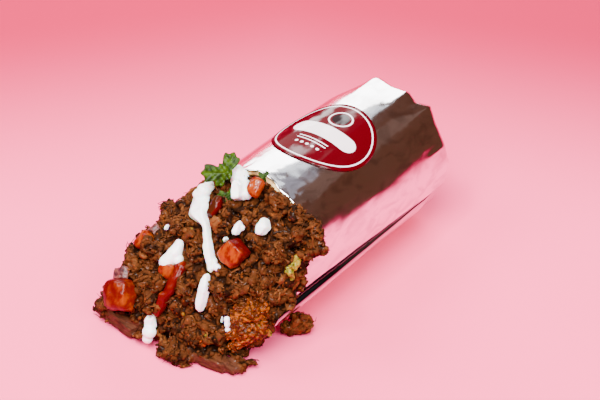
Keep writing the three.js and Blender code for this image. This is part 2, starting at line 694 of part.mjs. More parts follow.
// The heap with its meat fused on, and with the pockets that the toppings lie in.
function shreddedBeef() {
  const random = seeded(7);
  let beef = solidOf(heapGeometry);
  const join = (geometry) => { beef = beef.add(solidOf(geometry)); };
  [...facePlaces(FACE_LUMPS, 0), ...sidePlaces(SIDE_LUMPS, 0)].forEach((place) => {
    const lump = lumpOfBeef(place, random);
    if (clearOfToppings(place.point) > 1.5) join(lump);
  });
  OVERHANGS.forEach(({ middle, half }) => join(shapeFrom(BLOB, (p) => {
    p.multiplyScalar(random.between(0.88, 1.14));
    p.set(p.x * half[0], p.y * half[1], p.z * half[2]).add(new THREE.Vector3(...middle));
  })));
  BEEF_SLICES.forEach((slice) => join(sliceOfBeef(slice)));
  facePlaces(FACE_SHREDS, 1).forEach((place) => {
    const shred = shredOfBeef(place, random);
    if (clearOfToppings(place.point) > 3.5) join(shred);
  });
  [...facePlaces(FACE_CRUMBS, 2), ...sidePlaces(SIDE_CRUMBS, 2)].forEach(({ point, out }) => {
    const size = random.between(2.2, 3.2);
    const at = point.clone().addScaledVector(out, random.between(3, 4.4));
    at.z = Math.max(at.z, 4);
    const crumb = grain(at, random, [size * 1.3, size, size]);
    if (clearOfToppings(at) > 3) join(crumb);
  });
  toppings.forEach(({ pocket }) => { beef = beef.subtract(solidOf(pocket)); });
  return beef.subtract(riceClump(POCKET)).subtract(solidOf(sheath()));
}

// What the lumps of beef have to stay clear of at the mouth: the foil and the tortilla, grown a
// little. It is a ring with a square section.
const SHEATH_SIDES = 20;
const SHEATH_LENGTH = 41;
function sheath() {
  const front = MOUTH_Y - TORTILLA_SHOWS - 1;
  const outer = ROLL_RADIUS + 2 * GAP;
  const inner = fillingRadius + GAP / 2;
  const innerLift = FOIL_WALL + TORTILLA_WALL;
  const corners = [
    [outer, front, -2],
    [outer, front + SHEATH_LENGTH, -2],
    [inner, front + SHEATH_LENGTH, innerLift],
    [inner, front, innerLift],
  ];
  const points = corners.flatMap(([radius, y, lift]) => ring(SHEATH_SIDES, (turn) => onRoll(
    turn, radius, y + MOUTH_SLANT * Math.sin(turn), lift)));
  const faces = [];
  for (let corner = 0; corner < corners.length; corner += 1) {
    for (let i = 0; i < SHEATH_SIDES; i += 1) {
      const a = corner * SHEATH_SIDES;
      const b = ((corner + 1) % corners.length) * SHEATH_SIDES;
      const next = (i + 1) % SHEATH_SIDES;
      faces.push(a + i, a + next, b + i, a + next, b + next, b + i);
    }
  }
  return facingOut(points, faces);
}

// The crumb that has dropped beside the foil: a few lumps, each with its middle and its radius.
const CRUMB_LUMPS = [
  { at: [30.5, -46.5, 5.8], radius: 5.6 },
  { at: [34.2, -45, 5], radius: 4 },
  { at: [28, -50.5, 4.2], radius: 4 },
  { at: [32.5, -42.8, 3.8], radius: 3.4 },
  { at: [33, -46.5, 9.5], radius: 3.4 },
];
function droppedCrumb() {
  const random = seeded(12);
  const pieces = CRUMB_LUMPS.map(({ at, radius }) => solidOf(shapeFrom(BLOB, (p) => {
    p.multiplyScalar(radius * random.between(0.85, 1.15)).add(new THREE.Vector3(...at));
    p.z = Math.max(p.z, GAP / 2);
  })));
  return pieces.reduce((crumb, lump) => crumb.add(lump));
}

// ---- the label ---------------------------------------------------------------------------------

const LABEL_SIDES = 26;
const LABEL_LIFT = GAP + 0.15;     // the foil's facets dip below its waves, so this is a little more
function label() {
  const onFoil = (angle, share, height) => {
    const y = LABEL_Y + LABEL_RADIUS * share * Math.sin(angle);
    const turn = Math.PI / 2 - LABEL_RADIUS * share * Math.cos(angle) / ROLL_RADIUS;
    return onRoll(turn, foilRadius(turn, y) + height, y, 0);
  };
  const sheet = (height) => [0.34, 0.68, 1].map((share) => (
    ring(LABEL_SIDES, (angle) => onFoil(angle, share, height))));
  const top = LABEL_LIFT + LABEL_THICKNESS;
  const rings = [...sheet(top), ...sheet(LABEL_LIFT).reverse()];
  return skin(onFoil(0, 0, top), rings, onFoil(0, 0, LABEL_LIFT));
}

// ---- assembly ----------------------------------------------------------------------------------

const part = new THREE.Group();

function addPart(name, geometry, material) {
  const mesh = new THREE.Mesh(geometry, material);
  mesh.name = name;
  part.add(mesh);
}

addPart('foil_wrap', foilShell(), FINISHES.foil);
addPart('tortilla', tortillaShell(), FINISHES.tortilla);
addPart('filling', geometryOf(mainBody(shreddedBeef())), FINISHES.beef);
addPart('seasoned_rice', geometryOf(mainBody(riceClump(0))), FINISHES.rice);
addPart('beef_crumb', geometryOf(mainBody(droppedCrumb())), FINISHES.beef);
addPart('label', label(), FINISHES.label);
toppings.forEach(({ name, geometry, material }) => addPart(name, geometry, material));

// The origin goes under the middle of the whole object.
const whole = new THREE.Box3().setFromObject(part);
const middle = whole.getCenter(new THREE.Vector3());
part.position.set(-middle.x, -middle.y, -whole.min.z);

export default part;
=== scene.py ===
# %% [markdown]
# # A burrito in foil
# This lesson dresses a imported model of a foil-wrapped burrito. The model holds every piece at its real
# size and place, in metres, and the cells below give each one its surface: crinkled foil, torn beef,
# wet tomato, cream and leaf. A new piece stands for a node of the model, so it is finer than the node,
# and lies where the node lies. The roll lies along Y, with its filled end at -Y.

# %% Load the model
import math

import bpy
import numpy as np
from mathutils import Matrix, Vector, noise
from mathutils.bvhtree import BVHTree


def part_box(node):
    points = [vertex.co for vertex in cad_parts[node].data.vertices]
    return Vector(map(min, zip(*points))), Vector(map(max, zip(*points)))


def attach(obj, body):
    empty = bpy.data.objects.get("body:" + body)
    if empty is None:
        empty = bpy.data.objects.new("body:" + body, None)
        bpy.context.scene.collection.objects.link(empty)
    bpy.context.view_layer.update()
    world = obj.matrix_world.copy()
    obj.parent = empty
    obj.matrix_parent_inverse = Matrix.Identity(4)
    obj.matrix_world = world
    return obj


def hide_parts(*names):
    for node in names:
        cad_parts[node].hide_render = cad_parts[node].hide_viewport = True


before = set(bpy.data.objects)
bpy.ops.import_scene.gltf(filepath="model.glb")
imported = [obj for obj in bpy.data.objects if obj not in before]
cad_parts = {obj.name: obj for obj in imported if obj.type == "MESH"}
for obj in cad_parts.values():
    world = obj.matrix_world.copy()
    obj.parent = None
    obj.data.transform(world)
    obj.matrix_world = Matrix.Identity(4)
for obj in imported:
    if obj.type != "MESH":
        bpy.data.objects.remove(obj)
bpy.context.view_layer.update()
MM = 0.001

# %% [markdown]
# ## Where things are
# The foil's box shows where the roll's axis lies, and the round label's how far along it is. Places that
# are listed are measured from there: across the roll, along it, and up from the floor.

# %% A landmark
foil_low, foil_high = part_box("foil_wrap")
label_low, label_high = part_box("label")
LABEL_ALONG = 11 * MM
ORIGIN = Vector(((foil_low.x + foil_high.x) / 2, (label_low.y + label_high.y) / 2 - LABEL_ALONG, 0))
ROLL_RADIUS = 35.5 * MM
AXIS_HEIGHT = 34.5 * MM


def at(x, y, z):
    """A place in millimetres across, along and above the floor, as a point of the model."""
    return ORIGIN + Vector((x, y, z)) * MM


print("roll axis at x, mm:", round(ORIGIN.x / MM, 2))

# %% [markdown]
# ## The camera
# A long lens from the front right and above, as for a picture of food on a table. Its direction is
# given by two angles, so that it is easy to walk round the object.

# %% Camera
CAMERA_TARGET = at(-4.8, 0, 34.5)
CAMERA_TURN = math.radians(38.2)
CAMERA_RISE = math.radians(35)
CAMERA_DISTANCE = 0.809
FIELD_OF_VIEW = math.radians(20)


def direction(turn, rise):
    """A unit vector from the object: turn is measured from -Y towards +X, rise from the floor."""
    return Vector((math.sin(turn) * math.cos(rise), -math.cos(turn) * math.cos(rise), math.sin(rise)))


bpy.ops.object.select_all(action="DESELECT")
bpy.ops.object.camera_add(location=CAMERA_TARGET + direction(CAMERA_TURN, CAMERA_RISE) * CAMERA_DISTANCE)
camera = bpy.context.object
camera.data.angle = FIELD_OF_VIEW
camera.data.clip_start = 0.01
camera.rotation_euler = (CAMERA_TARGET - camera.location).to_track_quat("-Z", "Y").to_euler()
bpy.context.scene.camera = camera
print("lens, mm:", round(camera.data.lens, 1))

# %% [markdown]
# ## Modelling helpers
# An operator acts on everything that is selected, and loading the model leaves it all selected. So
# each step first picks the one piece it works on. Points move in and out as one array, because a
# formula on thousands of points is quick that way. Other helpers come where they are first needed.

# %% Helpers for all shapes


def pick(piece):
    """Selects one piece and nothing else."""
    bpy.ops.object.select_all(action="DESELECT")
    piece.select_set(True)
    bpy.context.view_layer.objects.active = piece


def points_of(piece):
    """All points of a piece, one row of x, y and z for each."""
    flat = np.empty(3 * len(piece.data.vertices), np.float32)
    piece.data.vertices.foreach_get("co", flat)
    return flat.reshape(-1, 3).astype(float)


def set_points(piece, points):
    piece.data.vertices.foreach_set("co", points.astype(np.float32).ravel())
    piece.data.update()


def modify(piece, kind, **settings):
    """Adds a modifier and applies it."""
    pick(piece)
    modifier = piece.modifiers.new(kind.title(), kind)
    for name, value in settings.items():
        setattr(modifier, name, value)
    bpy.ops.object.modifier_apply(modifier=modifier.name)


def outward(piece):
    """Welds doubled points and turns all faces outwards."""
    pick(piece)
    bpy.ops.object.mode_set(mode="EDIT")
    bpy.ops.mesh.select_all(action="SELECT")
    bpy.ops.mesh.remove_doubles(threshold=0.005 * MM)
    bpy.ops.mesh.normals_make_consistent(inside=False)
    bpy.ops.object.mode_set(mode="OBJECT")


# %% [markdown]
# ## Shader maths
# A finish is built from numbers that vary over the surface. One small class wraps such a number, so
# that ordinary arithmetic adds the Math nodes. Every other node comes from one method, which is given
# the node's type, its settings and its sockets.

# %% Helpers for finishes


class Value:
    """A socket whose number varies over a surface."""

    def __init__(self, finish, socket):
        self.finish = finish
        self.socket = socket

    def maths(self, operation, *others):
        """A Math node on this number, and on others if the operation takes them."""
        sockets = dict(enumerate((self, *others)))
        return self.finish.node("ShaderNodeMath", {"operation": operation}, sockets)

    def __add__(self, other):
        return self.maths("ADD", other)

    def __sub__(self, other):
        return self.maths("SUBTRACT", other)

    def __rsub__(self, other):
        return self.maths("MULTIPLY", -1.0) + other

    def __mul__(self, other):
        return self.maths("MULTIPLY", other)

    __radd__ = __add__
    __rmul__ = __mul__

    def mask(self, low, high):
        """0 where the number is low, 1 where it is high, with a soft step between."""
        ends = {"Value": self, "From Min": low, "From Max": high}
        return self.finish.node("ShaderNodeMapRange", {"interpolation_type": "SMOOTHSTEP"}, ends)


class Finish:
    """A material with one Principled shader. Its constants are set straight on the sockets."""

    def __init__(self, name, **constants):
        self.material = bpy.data.materials.new(name)
        self.material.use_nodes = True
        self.tree = self.material.node_tree
        self.shader = self.tree.nodes["Principled BSDF"]
        for socket, value in constants.items():
            self.shader.inputs[socket.replace("_", " ")].default_value = value

    def node(self, kind, settings, sockets, output=0):
        """Adds a node. The settings come first, because they decide which sockets it has."""
        node = self.tree.nodes.new(kind)
        for setting, value in settings.items():
            setattr(node, setting, value)
        for socket, value in sockets.items():
            if isinstance(value, Value):
                self.tree.links.new(value.socket, node.inputs[socket])
            else:
                node.inputs[socket].default_value = value
        return Value(self, node.outputs[output])

    def place(self):
        """Where the surface is, in metres."""
        return self.node("ShaderNodeTexCoord", {}, {}, "Object")

    def attribute(self, name, output="Fac"):
        """A number or a place that was stored on the piece."""
        return self.node("ShaderNodeAttribute", {"attribute_name": name}, {}, output)

    def stretched(self, place, scale, turn=(0, 0, 0)):
        """The place, turned and then scaled unevenly, so that a pattern on it is drawn out."""
        return self.node("ShaderNodeMapping", {}, {"Vector": place, "Rotation": turn, "Scale": scale})

    def noise(self, size, detail=2.0, place=None, distortion=0.0):
        """Cloudy noise from 0 to 1, with blotches about size across."""
        sockets = {"Vector": place or self.place(), "Scale": 1 / size, "Detail": detail,
                   "Distortion": distortion}
        return self.node("ShaderNodeTexNoise", {}, sockets)

    def mix(self, first, second, mask):
        """One colour where the mask is 0, and the other where it is 1."""
        return self.node("ShaderNodeMix", {"data_type": "RGBA"}, {0: mask, 6: first, 7: second}, 2)

    def bump(self, height, depth, strength=1.0):
        """Raises the surface by up to depth where height is 1."""
        normal = self.node("ShaderNodeBump", {}, {"Height": height, "Distance": depth,
                                                  "Strength": strength})
        self.varies("Normal", normal)

    def varies(self, socket, value):
        """Lets a socket of the shader vary over the surface."""
        self.tree.links.new(value.socket, self.shader.inputs[socket])


def colour(red, green, blue):
    """A colour as seen on a screen, from 0 to 255, in the linear form that shaders take."""
    shares = [channel / 255 for channel in (red, green, blue)]
    linear = [s / 12.92 if s <= 0.04045 else ((s + 0.055) / 1.055) ** 2.4 for s in shares]
    return (*linear, 1.0)


# %% Finishing a piece


def hand_in(piece, finish, slot, *nodes):
    """Gives a finished piece its material, hangs it under the root, and hides the solids it stands for. The
    slot is not used.
    """
    piece.data.materials.clear()
    piece.data.materials.append(finish.material)
    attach(piece, "root")
    if nodes:
        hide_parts(*nodes)
    triangles = sum(len(face.vertices) - 2 for face in piece.data.polygons)
    print(f"{piece.name}: {triangles} triangles")


# %% [markdown]
# ## The stage
# Foil is a mirror, so what it shows is the room. Pink paper fills its lower half. Further behind the
# roll the paper is painted a deeper pink, as painted shade. A dark warm room fills the middle. A low card
# of the same paper stands behind the roll, and gives the pink along the foil's far side.

# %% Floor
FLOOR_REACH = 3.0
bpy.ops.object.select_all(action="DESELECT")
bpy.ops.mesh.primitive_circle_add(vertices=96, radius=FLOOR_REACH, fill_type="NGON")
floor = bpy.context.object
floor.name = "floor"
PINK, PINK_PAINTED_SHADE = (0.97, 0.095, 0.245, 1), (0.46, 0.01, 0.06, 1)
BEHIND, ASIDE = (-0.62, 0.785, 0), (0.785, 0.62, 0)
floor_finish = Finish("floor_paper", Roughness=0.9, Specular_IOR_Level=0.0)


def how_far(way):
    """How far a place on the floor lies from its middle, one way, in metres."""
    sockets = {0: floor_finish.place(), 1: way}
    return floor_finish.node("ShaderNodeVectorMath", {"operation": "DOT_PRODUCT"}, sockets, "Value")


# painted shade: the paper is painted deeper pink further behind the roll and towards the sides
away, aside = how_far(BEHIND), how_far(ASIDE)
away = away + aside.maths("ABSOLUTE") * 0.25
floor_finish.varies("Base Color", floor_finish.mix(PINK, PINK_PAINTED_SHADE, away.mask(0.06, 0.29)))
floor.data.materials.append(floor_finish.material)
print("floor reach, m:", FLOOR_REACH)

# %% A low card behind the roll
CARD_TURN, CARD_AWAY, CARD_HEIGHT, CARD_WIDTH = 222, 0.72, 0.155, 1.0
foot = CAMERA_TARGET + direction(math.radians(CARD_TURN), 0) * CARD_AWAY
bpy.ops.object.select_all(action="DESELECT")
bpy.ops.mesh.primitive_grid_add(x_subdivisions=2, y_subdivisions=2, size=1)
card = bpy.context.object
card.name = "card"
card_points = points_of(card) * (CARD_WIDTH, CARD_HEIGHT, 1)
upright = Matrix.Rotation(math.radians(CARD_TURN), 3, "Z") @ Matrix.Rotation(math.radians(90), 3, "X")
set_points(card, card_points @ np.array(upright).T + (foot.x, foot.y, CARD_HEIGHT / 2))
card_finish = Finish("card_paper", Base_Color=(0.97, 0.08, 0.22, 1), Roughness=0.9,
                     Specular_IOR_Level=0.0)
card.data.materials.append(card_finish.material)
print("card, m:", CARD_WIDTH, "by", CARD_HEIGHT)

# %% [markdown]
# ## The lights
# A soft box behind the roll gives the white band along the top of the foil. Two weak lamps beside it
# break the band's edge and cool it, and a warm one lifts the dark part a little. They are weak because a
# mirror shows a lamp at its full brightness. The food is lit by three large soft boxes in front and
# above, and a small lamp gives the wet spots their sparks.

# %% Lights
room = bpy.data.worlds.new("room")
room.use_nodes = True
room.node_tree.nodes["Background"].inputs["Color"].default_value = colour(102, 60, 45)
room.node_tree.nodes["Background"].inputs["Strength"].default_value = 1.0
bpy.context.scene.world = room


def soft_box(name, turn, rise, distance, width, height, watts, tone=(1, 1, 1)):
    """A rectangular lamp that faces the burrito from the given direction."""
    towards = direction(math.radians(turn), math.radians(rise))
    bpy.ops.object.select_all(action="DESELECT")
    bpy.ops.object.light_add(type="AREA", location=CAMERA_TARGET + towards * distance)
    lamp = bpy.context.object
    lamp.name = name
    lamp.data.shape = "RECTANGLE"
    lamp.data.size = width
    lamp.data.size_y = height
    lamp.data.energy = watts
    lamp.data.color = tone
    lamp.rotation_euler = towards.to_track_quat("Z", "Y").to_euler()


# name, turn and rise in degrees, distance, width and height in m, watts, and colour
soft_box("key", 22, 58, 1.3, 0.8, 0.8, 66)
soft_box("right", 72, 40, 1.2, 0.5, 0.5, 17)
soft_box("left", -60, 50, 1.2, 0.5, 0.5, 14)
soft_box("band", 218, 26, 0.8, 0.5, 0.5, 9)
soft_box("band_edge", 202, 48, 0.82, 0.34, 0.14, 0.3, (0.85, 0.92, 1.0))
soft_box("cool", 180, 58, 0.8, 0.34, 0.16, 0.08, (0.68, 0.8, 1.0))
soft_box("haze", 150, 47, 0.8, 0.35, 0.3, 0.025, (1.0, 0.8, 0.72))
soft_box("spark", -8, 66, 1.0, 0.05, 0.05, 2.5)

# %% [markdown]
# ## The foil
# A sheet of kitchen foil is rolled round the burrito and tucked in at the far end. Its shape is a flat
# sheet wrapped on a profile: along the wall, round the edge, and in to the middle of the end. That is
# surer than a cloth simulation, because every part of the outline can be placed. Foil is nearly a
# mirror, so long soft waves and a few sharp creases matter more than any colour.

# %% Helpers for sheets


def new_sheet(name, across, along):
    """A flat sheet of small squares from 0 to 1 both ways, to be wrapped by a formula."""
    bpy.ops.object.select_all(action="DESELECT")
    bpy.ops.mesh.primitive_grid_add(x_subdivisions=across, y_subdivisions=along, size=1,
                                    location=(0.5, 0.5, 0))
    sheet = bpy.context.object
    sheet.name = name
    bpy.ops.object.transform_apply(location=True, rotation=True, scale=True)
    return sheet


def smooth_steps(value, low, high):
    """0 below low, 1 above high, and an S-curve in between."""
    share = np.clip((value - low) / (high - low), 0, 1)
    return share * share * (3 - 2 * share)


def noise_at(points, size, seed=0.0):
    """Soft noise between about -1 and 1 at each point, whose bumps are about size across."""
    shift = Vector((seed * 7.1, seed * 3.7, seed * 5.3))
    return np.array([noise.noise(Vector(point) / size + shift) for point in points])


def store(piece, name, values):
    """Keeps a number or a place for each point, which a finish can read by its name."""
    values = np.asarray(values, np.float32)
    kind, field = ("FLOAT", "value") if values.ndim == 1 else ("FLOAT_VECTOR", "vector")
    layer = piece.data.attributes.new(name, kind, "POINT")
    layer.data.foreach_set(field, values.ravel())


# %% [markdown]
# The roll is held together by its outer turn of foil. The free edge of that turn lies along the lower
# right side and stands off a little, with a gap above it that is painted dark, as painted shade. Below
# the edge the foil runs further forward, as a tongue, because the outer turn is longer than the one
# inside it.

# %% Foil: the shape of the wrap
MOUTH = -43 * MM
MOUTH_SLANT = 8.5 * MM
FAR_END = 70 * MM
EDGE_ROUND = 6 * MM
END_DISH = 1.2 * MM
FOIL_THICKNESS = 0.3 * MM
FOIL_AROUND, FOIL_ALONG = 240, 130
SEAM_TURN, SEAM_HEIGHT, SEAM_LENGTH = -13.5, 2.5 * MM, 112 * MM
FOLDED_FROM, FOLDED_TO = 46 * MM, 64 * MM
# Squares lie closer together at the free edge: the share of the way round, and the turn there.
SEAM_WAYS, SEAM_TURNS = (0, 0.38, 0.43, 1), (-180, SEAM_TURN - 1.2, SEAM_TURN + 0.8, 180)
# The far rim is folded into flats. For each corner: its turn, its distance from the axis in mm, and how
# much further along than the rest it stands out, in mm.
RIM_CORNERS = [
    (-160, 34.8, 0.0), (-120, 35.2, 0.8), (-75, 34.6, 0.0), (-40, 35.0, 0.2), (-12, 35.3, 0.4),
    (5, 35.5, 0.4), (20.5, 35.2, -0.3), (43, 35.0, 0.4), (54, 35.8, 3.0), (64, 34.6, -1.5),
    (75, 35.2, 0.5), (90, 34.3, -1.0), (108, 35.7, 2.4), (150, 35.2, 0.8),
]


def hump(degrees, middle, half_width):
    """A flat-topped hump: 1 around the middle, and 0 well beyond the half width."""
    return np.exp(-((degrees - middle) / half_width) ** 4)


def foil_radius(turn, along):
    """The foil's outside: long soft waves, a little fatter half way along."""
    y = along / MM
    belly = 0.5 * np.cos((y - 10) / 60)
    wave = np.sin(3 * turn + y / 21) + 0.6 * np.sin(5 * turn - y / 13 + 2)
    return ROLL_RADIUS + (belly - 0.5 + 0.25 * wave) * MM


def seam(turn, along):
    """The foil's free edge lies along the lower right side, and stands off most near the mouth."""
    from_edge = SEAM_TURN - np.degrees(turn)
    step = smooth_steps(from_edge, -0.2, 0.35) * (1 - smooth_steps(from_edge, 3, 26))
    return SEAM_HEIGHT * step * np.clip(1 - (along - MOUTH) / SEAM_LENGTH, 0, 1)


def painted_gap_shade(turn, along):
    """Painted shade: 1 in the narrow gap above the free edge, where light hardly gets in, and 0 elsewhere.
    """
    from_edge = SEAM_TURN - np.degrees(turn)
    across = smooth_steps(from_edge, -0.5, -0.1) * (1 - smooth_steps(from_edge, 0.25, 5.5))
    return across * np.clip(1.15 - (along - MOUTH) / SEAM_LENGTH, 0, 1)


def far_rim(turn):
    """The many-sided outline of the far rim: its radius, and how far it stands out, at each turn."""
    corners, reach, further = np.array(RIM_CORNERS).T
    corners = np.radians(corners)

    def between(values):
        return np.interp(turn, corners, values, period=2 * math.pi)

    radius = np.hypot(between(reach * np.cos(corners)), between(reach * np.sin(corners)))
    return radius * MM, between(further) * MM


def mouth_edge(turn):
    """The foil's torn edge, slanted and crinkled. Below the seam it runs further forward, as a tongue."""
    degrees = np.degrees(turn)
    below = SEAM_TURN - degrees
    crinkle = 0.9 * np.sin(4 * turn + 1) + 0.7 * np.sin(9 * turn) + 0.3 * np.sin(23 * turn + 2)
    lip = 7.5 * hump(degrees, -8, 28)
    tongue = 15 * smooth_steps(below, -0.2, 0.6) * (1 - smooth_steps(below, 6, 27))
    return MOUTH + MOUTH_SLANT * np.sin(turn) + (crinkle - lip - tongue) * MM


def on_roll(turn, radius, along, lowest=0.0):
    """Points of the roll, which is pressed flat where it meets the floor."""
    height = np.maximum(AXIS_HEIGHT + radius * np.sin(turn), lowest)
    return np.column_stack([ORIGIN.x + radius * np.cos(turn), ORIGIN.y + along, height])


# %% [markdown]
# Each point of the flat sheet walks along the profile by its second measure, and goes round by its
# first. The far end is pleated in a swirl, as foil is when it is tucked in.

# %% Foil: wrapping the sheet
foil = new_sheet("foil_sheet", FOIL_AROUND, FOIL_ALONG)
flat = points_of(foil)
turn = np.radians(np.interp(flat[:, 0], SEAM_WAYS, SEAM_TURNS))
wall_length = FAR_END - EDGE_ROUND - MOUTH
profile_length = wall_length + EDGE_ROUND * math.pi / 2 + ROLL_RADIUS - EDGE_ROUND
walked = flat[:, 1] * profile_length
edge = mouth_edge(turn)
along = edge + (FAR_END - EDGE_ROUND - edge) * np.minimum(walked / wall_length, 1)
bend = np.clip((walked - wall_length) / EDGE_ROUND, 0, math.pi / 2)
past = np.clip(walked - wall_length - EDGE_ROUND * math.pi / 2, 0, None)
end_share = 1 - np.clip(past / (ROLL_RADIUS - EDGE_ROUND), 0, 1)
swirl = turn + 0.35 * np.sin(2 * turn + 0.7) + 0.2 * np.sin(3 * turn) + 0.7 * (1 - end_share)
pleat = np.abs(np.sin(3.5 * swirl + 0.8)) * np.sin(math.pi * np.minimum(end_share * 1.15, 1))
pleat = pleat * (1.2 + 0.6 * np.sin(2 * turn + 2)) * MM
along = along + EDGE_ROUND * np.sin(bend) - (pleat + END_DISH * (1 - end_share)) * (past > 0)
folded = smooth_steps(along, FOLDED_FROM, FOLDED_TO)
rim_radius, stands_out = far_rim(turn)
radius = (foil_radius(turn, along) + seam(turn, along)) * (1 - folded) + rim_radius * folded
along += stands_out * folded * end_share
radius = (radius - EDGE_ROUND * (1 - np.cos(bend))) * end_share
smooth_place = on_roll(turn, radius, along)
print("foil profile, mm:", round(profile_length / MM, 1))

# %% [markdown]
# Creases are drawn out along the roll. They are deepest at the mouth, where the foil was torn and
# handled, and at the far rim.

# %% Foil: creases
near_mouth = 1 - smooth_steps(walked, 1 * MM, 14 * MM)
near_end = smooth_steps(walked, wall_length - 26 * MM, wall_length)
drawn = smooth_place * (1.0, 0.4, 1.0)
soft = noise_at(drawn, 9 * MM, 1)
sharp = np.clip(1 - np.abs(noise_at(drawn, 8 * MM, 2)) * 3, 0, 1)
fine = np.clip(1 - np.abs(noise_at(smooth_place, 3.5 * MM, 3)) * 3, 0, 1)
ripples = noise_at(smooth_place * (0.6, 1.3, 0.6), 5 * MM, 7)
dents = 0.13 * soft + 0.035 * ripples + (0.06 + 0.3 * near_mouth + 0.12 * near_end) * sharp
dents = dents + (0.01 + 0.15 * near_mouth + 0.03 * near_end) * fine
along = along - 2.2 * dents * MM * smooth_steps(past, 0, 4 * MM)
set_points(foil, on_roll(turn, radius - dents * MM * np.clip(end_share, 0.1, 1), along))
# painted shade: how dark the fold above the free edge is painted
store(foil, "gap", painted_gap_shade(turn, along))
outward(foil)
modify(foil, "SOLIDIFY", thickness=FOIL_THICKNESS, offset=-1)
bpy.ops.object.shade_smooth()
print("deepest dent, mm:", round(dents.max(), 2))

# %% [markdown]
# The finish is plain metal. Rolled foil has one bright side with very fine lines along the roll, which
# blur reflections a little. A slow change in roughness keeps it from looking like chrome. The gap above
# the free edge is painted near black, as painted shade, because light that gets into a fold hardly
# comes out again.

# %% Foil: finish
foil_finish = Finish("foil", Metallic=1.0)
lines = foil_finish.noise(0.5 * MM, 2, foil_finish.stretched(foil_finish.place(), (1, 0.04, 1)))
blotches = foil_finish.noise(14 * MM, 3)
handled = foil_finish.noise(6 * MM, 4, foil_finish.stretched(foil_finish.place(), (1, 0.5, 1)), 0.6)
metal = foil_finish.mix(colour(236, 235, 236), colour(208, 205, 205), handled.mask(0.42, 0.68))
in_shade = foil_finish.attribute("gap") * 0.96
# painted shade: the foil turns near black in the gap above its free edge
foil_finish.varies("Base Color", foil_finish.mix(metal, colour(16, 10, 12), in_shade))
foil_finish.varies("Roughness", 0.09 + 0.08 * blotches)
foil_finish.bump(lines, 0.02 * MM, 0.35)
hand_in(foil, foil_finish, "foil", "foil_wrap")

# %% [markdown]
# ## The label
# A thin round sheet that follows the foil. Its design is drawn by the finish from a flat map of the
# sheet in millimetres: a white band on crimson, a ring, a row of dots and two thin lines. Drawn that
# way it stays sharp at any size. Handling has left the paper's gloss uneven.

# %% Label: shape
LABEL_RADIUS = 25.4 * MM
LABEL_HEIGHT = 0.55 * MM
LABEL_ASIDE = 1.2 * MM
label = new_sheet("round_label", 120, 24)
flat = points_of(label)
angle, reach = flat[:, 0] * 2 * math.pi, flat[:, 1] * LABEL_RADIUS
across, lengthwise = reach * np.cos(angle), reach * np.sin(angle)
turn = math.pi / 2 - (across + LABEL_ASIDE) / ROLL_RADIUS
along = LABEL_ALONG + lengthwise
lift = LABEL_HEIGHT + 0.05 * MM * np.sin(across / MM / 5) * np.sin(lengthwise / MM / 7)
set_points(label, on_roll(turn, foil_radius(turn, along) + lift, along))
store(label, "flat", np.column_stack([across / MM, lengthwise / MM, 0 * across]))
outward(label)
modify(label, "SOLIDIFY", thickness=0.25 * MM, offset=-1)
bpy.ops.object.shade_smooth()
print("label across, mm:", round(2 * LABEL_RADIUS / MM, 1))

# %% Label: paper
label_finish = Finish("label", Roughness=0.5, Specular_IOR_Level=0.0, Coat_Roughness=0.1)
gloss = label_finish.noise(8 * MM, 2, label_finish.stretched(label_finish.place(), (1, 0.5, 1)))
label_finish.varies("Coat Weight", 0.05 + 0.6 * gloss.mask(0.5, 0.64))
split = label_finish.node("ShaderNodeSeparateXYZ", {}, {0: label_finish.attribute("flat", "Vector")})
u, v = (Value(label_finish, split.socket.node.outputs[axis]) for axis in (0, 1))

# %% Label: design


def distance(first, second):
    """How far a place is from the middle, from its two distances along and across."""
    return (first * first + second * second).maths("SQRT")


def line(value, middle, half_width):
    """1 within a line, 0 beside it."""
    return 1 - (value - middle).maths("ABSOLUTE").mask(half_width - 0.12, half_width + 0.12)


BAND_HALF_LENGTH, BAND_HALF_WIDTH = 17.5, 4.8
OUTER_RING = 23.2
RULES, RULE_HALF_LENGTH = (-8.2, -10.2), 8.0
DOTS, DOT_STEP = -13.5, 3.0
DISC, DISC_RADIUS, DISC_RING = 12.5, 4.0, 5.6
beyond_band = (u.maths("ABSOLUTE") - (BAND_HALF_LENGTH - BAND_HALF_WIDTH)).maths("MAXIMUM", 0.0)
band = 1 - distance(beyond_band, v).mask(BAND_HALF_WIDTH - 0.15, BAND_HALF_WIDTH + 0.15)
outer_ring = line(distance(u, v), OUTER_RING, 0.35)
near_middle = 1 - u.maths("ABSOLUTE").mask(RULE_HALF_LENGTH, RULE_HALF_LENGTH + 0.3)
rules = (line(v, RULES[0], 0.3) + line(v, RULES[1], 0.3)) * near_middle
cell_u = (u + 100 * DOT_STEP + DOT_STEP / 2).maths("MODULO", DOT_STEP) - DOT_STEP / 2
dots = (1 - distance(cell_u, v - DOTS).mask(0.65, 0.95)) * near_middle
from_disc = distance(u, v - DISC)
dark_disc = 1 - from_disc.mask(DISC_RADIUS, DISC_RADIUS + 0.3)
white = (band + outer_ring + rules + dots + line(from_disc, DISC_RING, 0.4)).maths("MINIMUM", 1.0)
paper = label_finish.mix(colour(70, 1, 9), colour(232, 214, 218), white)
label_finish.varies("Base Color", label_finish.mix(paper, colour(24, 8, 10), dark_disc))
hand_in(label, label_finish, "label", "label")

# %% [markdown]
# ## The tortilla
# One thick, soft sheet lines the foil and shows past its edge at the mouth. The profile runs from the
# middle of the far end along the outside, over the lip, and back inside, so that the sheet is closed.
# The lip is frayed, because the tortilla is torn by the filling that swells out of it, and it sits
# further back at the lower right and at the top.

